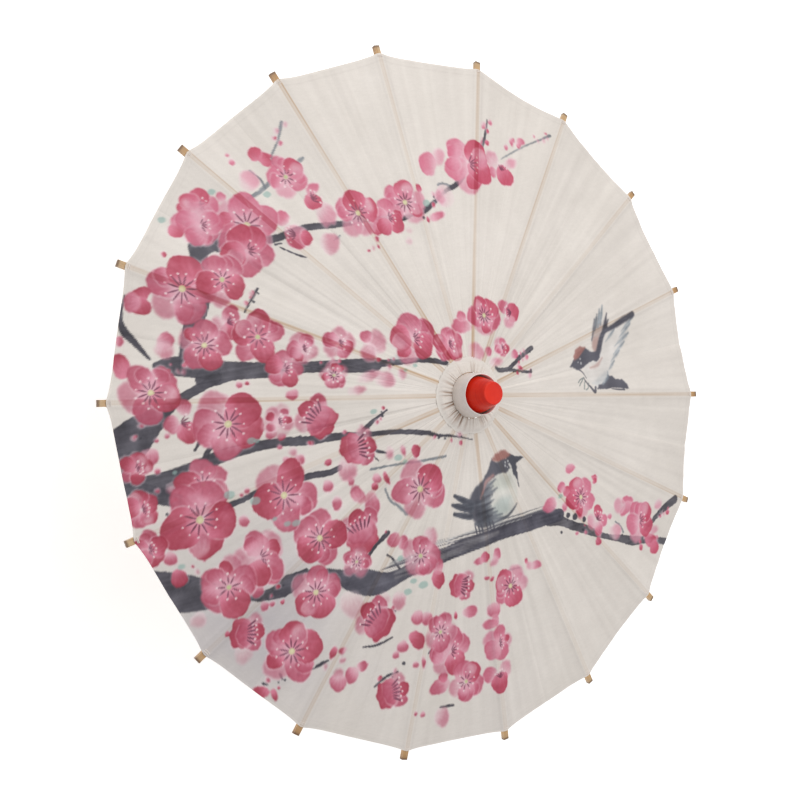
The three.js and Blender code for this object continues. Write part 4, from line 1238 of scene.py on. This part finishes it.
def paper_material(name, fibre, rough):
    """Oiled bast paper: the piece's own paint, with fibres both ways and a cloudy gloss."""
    n = Nodes(name)
    paint = n.add("VertexColor", layer_name="paint").outputs["Color"]
    place = n.place
    grain = n.noise(place, 1400, 4, 0.6)
    strands = n.noise(n.stretch(place, (500, 140, 500)), 1.0, 3, 0.6)
    crossed = n.noise(n.stretch(place, (130, 520, 500)), 1.0, 3, 0.6)
    cloudy = n.noise(place, 55, 3)
    dull = n.ramp(grain, 0.3, 0.7, 1 - fibre, 1 + fibre * 0.4)
    dull = n.math("MULTIPLY", dull, n.ramp(strands, 0.3, 0.7, 1 - fibre * 0.5, 1 + fibre * 0.4))
    dull = n.math("MULTIPLY", dull, n.ramp(cloudy, 0.3, 0.7, 0.985, 1.01))
    shade = n.add("CombineColor", Red=dull, Green=dull, Blue=dull).outputs[0]
    color = n.mix(1.0, paint, shade, "MULTIPLY")
    height = n.math("ADD", n.math("ADD", strands, crossed), n.math("MULTIPLY", grain, 0.6))
    normal = n.bump(height, 0.28, 0.0003)
    return n.finish(color, n.ramp(cloudy, 0.3, 0.7, rough - 0.06, rough + 0.08), normal,
                    Coat_Weight=0.06, Coat_Roughness=0.4, Specular_IOR_Level=0.35)


def bamboo_material(name, pale, deep, knots):
    """Split bamboo: fibres along each spoke, and a darker joint part of the way out."""
    n = Nodes(name)
    xyz = n.add("SeparateXYZ", Vector=n.place)
    x, y, z = (xyz.outputs[k] for k in range(3))
    radius = n.math("SQRT", n.math("ADD", n.math("MULTIPLY", x, x), n.math("MULTIPLY", y, y)))
    angle = n.math("ARCTAN2", y, x)
    spoke = n.math("ROUND", n.math("DIVIDE", angle, PITCH))
    off = n.math("SUBTRACT", angle, n.math("MULTIPLY", spoke, PITCH))
    across = n.math("MULTIPLY", radius, n.math("SINE", off))
    own = n.math("MULTIPLY", spoke, 3.7)
    along = n.math("ADD", n.math("MULTIPLY", radius, 22), own)
    fibre_place = n.add("CombineXYZ", X=along, Y=n.math("MULTIPLY", across, 1500),
                        Z=n.math("MULTIPLY", z, 1100)).outputs[0]
    fibre = n.noise(fibre_place, 1.0, 4, 0.65)
    broad = n.noise(n.add("CombineXYZ", X=along, Y=own).outputs[0], 1.6, 2)
    color = n.mix(n.ramp(fibre, 0.32, 0.68), rgb(*deep), rgb(*pale))
    color = n.mix(n.ramp(broad, 0.35, 0.7, 0.0, 0.35), color, rgb(*deep))
    where = n.math("ADD", n.math("MULTIPLY", n.math("SINE", n.math("MULTIPLY", spoke, 2.4)), 0.016),
                   knots)
    near = n.math("ABSOLUTE", n.math("SUBTRACT", radius, where))
    knot = n.ramp(near, 0.0008, 0.0022, 0.55, 0.0)
    color = n.mix(knot, color, rgb(150, 108, 66))
    weather = n.ramp(n.math("SINE", n.math("MULTIPLY", spoke, 5.3)), -0.5, 0.9)
    weather = n.mix(weather, rgb(188, 166, 136), rgb(140, 100, 64))
    color = n.mix(n.ramp(radius, 0.2895, 0.2965, 0.0, 0.6), color, weather)
    end = n.math("ADD", radius, n.math("MULTIPLY", fibre, 0.0016))
    color = n.mix(n.ramp(end, RIB_TIP * MM - 0.0012, RIB_TIP * MM + 0.0002, 0.0, 0.8), color,
                  rgb(104, 74, 50))
    normal = n.bump(n.math("ADD", fibre, knot), 0.35, 0.0003)
    return n.finish(color, n.ramp(fibre, 0.3, 0.7, 0.58, 0.4), normal,
                    Coat_Weight=0.12, Coat_Roughness=0.35)


def cane_material():
    """The shaft: whole bamboo with fibres along it, darker round each joint."""
    n = Nodes("shaft_bamboo")
    place = n.place
    fibre = n.noise(n.stretch(place, (900, 900, 14)), 1.0, 4, 0.65)
    mottled = n.noise(place, 60, 3)
    color = n.mix(n.ramp(fibre, 0.3, 0.7), rgb(178, 130, 80), rgb(216, 176, 122))
    color = n.mix(n.ramp(mottled, 0.45, 0.75, 0.0, 0.4), color, rgb(164, 112, 66))
    height = n.add("SeparateXYZ", Vector=place).outputs[2]
    for z in SHAFT_JOINTS:
        near = n.math("ABSOLUTE", n.math("SUBTRACT", height, z * MM))
        color = n.mix(n.ramp(near, 0.0005, 0.004, 0.7, 0.0), color, rgb(128, 84, 48))
    return n.finish(color, n.ramp(fibre, 0.3, 0.7, 0.5, 0.34), n.bump(fibre, 0.2, 0.0003),
                    Coat_Weight=0.3, Coat_Roughness=0.25)


def wood_material(name, pale, deep, gloss):
    """Turned wood: grain along the axis, dark pores and an oiled surface."""
    n = Nodes(name)
    place = n.place
    wander = n.noise(n.stretch(place, (60, 60, 9)), 1.0, 2)
    rings = n.noise(n.stretch(place, (700, 700, 26)), 1.0, 5, 0.6)
    pores = n.noise(n.stretch(place, (2600, 2600, 140)), 1.0, 2)
    color = n.mix(n.ramp(rings, 0.3, 0.72), rgb(*deep), rgb(*pale))
    color = n.mix(n.ramp(wander, 0.4, 0.7, 0.0, 0.45), color, rgb(*deep))
    color = n.mix(n.ramp(pores, 0.62, 0.72, 0.0, 0.5), color, rgb(70, 40, 22))
    height = n.math("SUBTRACT", rings, n.ramp(pores, 0.6, 0.75))
    return n.finish(color, n.ramp(rings, 0.3, 0.7, gloss + 0.1, gloss - 0.05),
                    n.bump(height, 0.18, 0.0004), Coat_Weight=0.35, Coat_Roughness=0.2)


def lacquer_material():
    """Red lacquer with faint turning streaks and small worn spots."""
    n = Nodes("red_lacquer")
    place = n.place
    orange = n.noise(place, 260, 3)
    streaks = n.noise(n.stretch(place, (60, 60, 500)), 1.0, 3)
    worn = n.noise(place, 900, 2)
    color = n.mix(n.ramp(streaks, 0.3, 0.7), rgb(214, 26, 2), rgb(230, 44, 6))
    color = n.mix(n.ramp(worn, 0.66, 0.74, 0.0, 0.3), color, rgb(170, 14, 8))
    return n.finish(color, n.ramp(orange, 0.3, 0.7, 0.34, 0.46), n.bump(orange, 0.05, 0.0004),
                    Coat_Weight=0.12, Coat_Roughness=0.2, Specular_IOR_Level=0.3)


def steel_material():
    """Drawn wire with a little tarnish."""
    n = Nodes("drawn_steel")
    place = n.place
    drawn = n.noise(n.stretch(place, (1800, 1800, 200)), 1.0, 3)
    tarnish = n.noise(place, 340, 3)
    color = n.mix(n.ramp(tarnish, 0.45, 0.7), rgb(176, 176, 180), rgb(132, 124, 116))
    return n.finish(color, n.ramp(drawn, 0.3, 0.7, 0.28, 0.46), n.bump(drawn, 0.1, 0.0002),
                    Metallic=1.0)


canopy_paper = paper_material("oiled_canopy_paper", 0.045, 0.5)
collar_paper = paper_material("collar_paper", 0.07, 0.6)
rib_bamboo = bamboo_material("rib_bamboo", (222, 182, 130), (190, 144, 90), 0.168)
strut_bamboo = bamboo_material("strut_bamboo", (200, 154, 98), (160, 112, 64), 0.118)
shaft_bamboo = cane_material()
turned_wood = wood_material("turned_wood", (150, 96, 54), (104, 60, 32), 0.36)
lacquer = lacquer_material()
steel = steel_material()

for k in range(RIB_COUNT):
    canopy_section(k, canopy_paper)
    patch_section(k, collar_paper)
    lashing(k, collar_paper)
top_cap(lacquer)
collar(collar_paper)
handle(turned_wood)
shaft_joints(shaft_bamboo)

# The look of each CAD node that is shown, by the start of its name, and its edges' rounding.
NODE_LOOKS = [
    ("rib_", rib_bamboo, 0.3), ("strut_", strut_bamboo, 0.25), ("shaft", shaft_bamboo, 0.0),
    ("head_wire", steel, 0.0), ("head_peg", strut_bamboo, 0.15), ("head", turned_wood, 0.25),
    ("runner_wire", steel, 0.0), ("runner", turned_wood, 0.25), ("catch", steel, 0.12)]
for name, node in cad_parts.items():
    look = next((row for row in NODE_LOOKS if name.startswith(row[0])), None)
    if look is None or node.hide_render:
        continue
    _, material, edge = look
    for slot in node.material_slots:
        slot.link = "OBJECT"
        slot.material = material
    if edge:
        bevel = node.modifiers.new("edges", "BEVEL")
        bevel.width = edge * MM
        bevel.segments = 2
        bevel.limit_method = "ANGLE"
        bevel.angle_limit = math.radians(40)
        bevel.use_clamp_overlap = False

# ---- Camera, floor and light ----
AIM = Vector((-0.0078, -0.0562, 0.3500))
DISTANCE = 0.9868
ELEVATION = math.radians(57.66)
HEADING = math.radians(83.885)
ROLL = math.radians(84.46)
LENS, SENSOR = 55.2, 36  # millimetres
NEAREST, FARTHEST = 0.05, 50
FLOOR_HALF = 12.0
FLOOR_GLOW = 0.5
LIT_POINT = Vector((0, 0, 0.36))  # at the umbrella's head
SKY = (0.97, 0.985, 1.0, 1)
SKY_STRENGTH = 0.45

forward = Vector((math.cos(ELEVATION) * math.cos(HEADING),
                  math.cos(ELEVATION) * math.sin(HEADING), -math.sin(ELEVATION)))
level = forward.cross(Vector((0, 0, 1))).normalized()
upright = level.cross(forward)
up = upright * math.cos(ROLL) - level * math.sin(ROLL)
camera = bpy.data.objects.new("camera", bpy.data.cameras.new("camera"))
bpy.context.scene.collection.objects.link(camera)
axes = Matrix((forward.cross(up), up, -forward)).transposed()
camera.matrix_world = Matrix.Translation(AIM - forward * DISTANCE) @ axes.to_4x4()
camera.data.lens = LENS
camera.data.sensor_width = SENSOR
camera.data.clip_start = NEAREST
camera.data.clip_end = FARTHEST
bpy.context.scene.camera = camera

floor_mesh = bpy.data.meshes.new("floor")
floor_corners = [(x * FLOOR_HALF, y * FLOOR_HALF, 0) for x, y in ((-1, -1), (1, -1), (1, 1), (-1, 1))]
floor_mesh.from_pydata(floor_corners, [], [(0, 1, 2, 3)])
floor = bpy.data.objects.new("floor", floor_mesh)
bpy.context.scene.collection.objects.link(floor)
n = Nodes("pale_floor")
floor_color = n.mix(n.ramp(n.noise(n.place, 40, 3), 0.3, 0.7), rgb(250, 250, 250), rgb(252, 252, 252))
floor_mesh.materials.append(n.finish(floor_color, 0.7, Emission_Color=(1, 1, 1, 1),
                                     Emission_Strength=FLOOR_GLOW))


def area_light(name, azimuth, elevation, distance, size, energy, tint=(1, 1, 1)):
    """A soft square light that looks at the umbrella's head."""
    lamp = bpy.data.lights.new(name, "AREA")
    lamp.size = size
    lamp.energy = energy
    lamp.color = tint
    shining = bpy.data.objects.new(name, lamp)
    bpy.context.scene.collection.objects.link(shining)
    a, e = math.radians(azimuth), math.radians(elevation)
    out = Vector((math.cos(a) * math.cos(e), math.sin(a) * math.cos(e), math.sin(e)))
    shining.location = LIT_POINT + out * distance
    shining.rotation_mode = "QUATERNION"
    shining.rotation_quaternion = out.to_track_quat("Z", "Y")


area_light("key", azimuth=160, elevation=45, distance=1.9, size=1.1, energy=12.5,
           tint=(1.0, 0.985, 0.965))
area_light("overhead", azimuth=80, elevation=82, distance=2.4, size=2.4, energy=23)
world = bpy.data.worlds.new("studio")
bpy.context.scene.world = world
world.use_nodes = True
background = world.node_tree.nodes["Background"]
background.inputs["Color"].default_value = SKY
background.inputs["Strength"].default_value = SKY_STRENGTH
bpy.context.scene.view_settings.view_transform = "Standard"
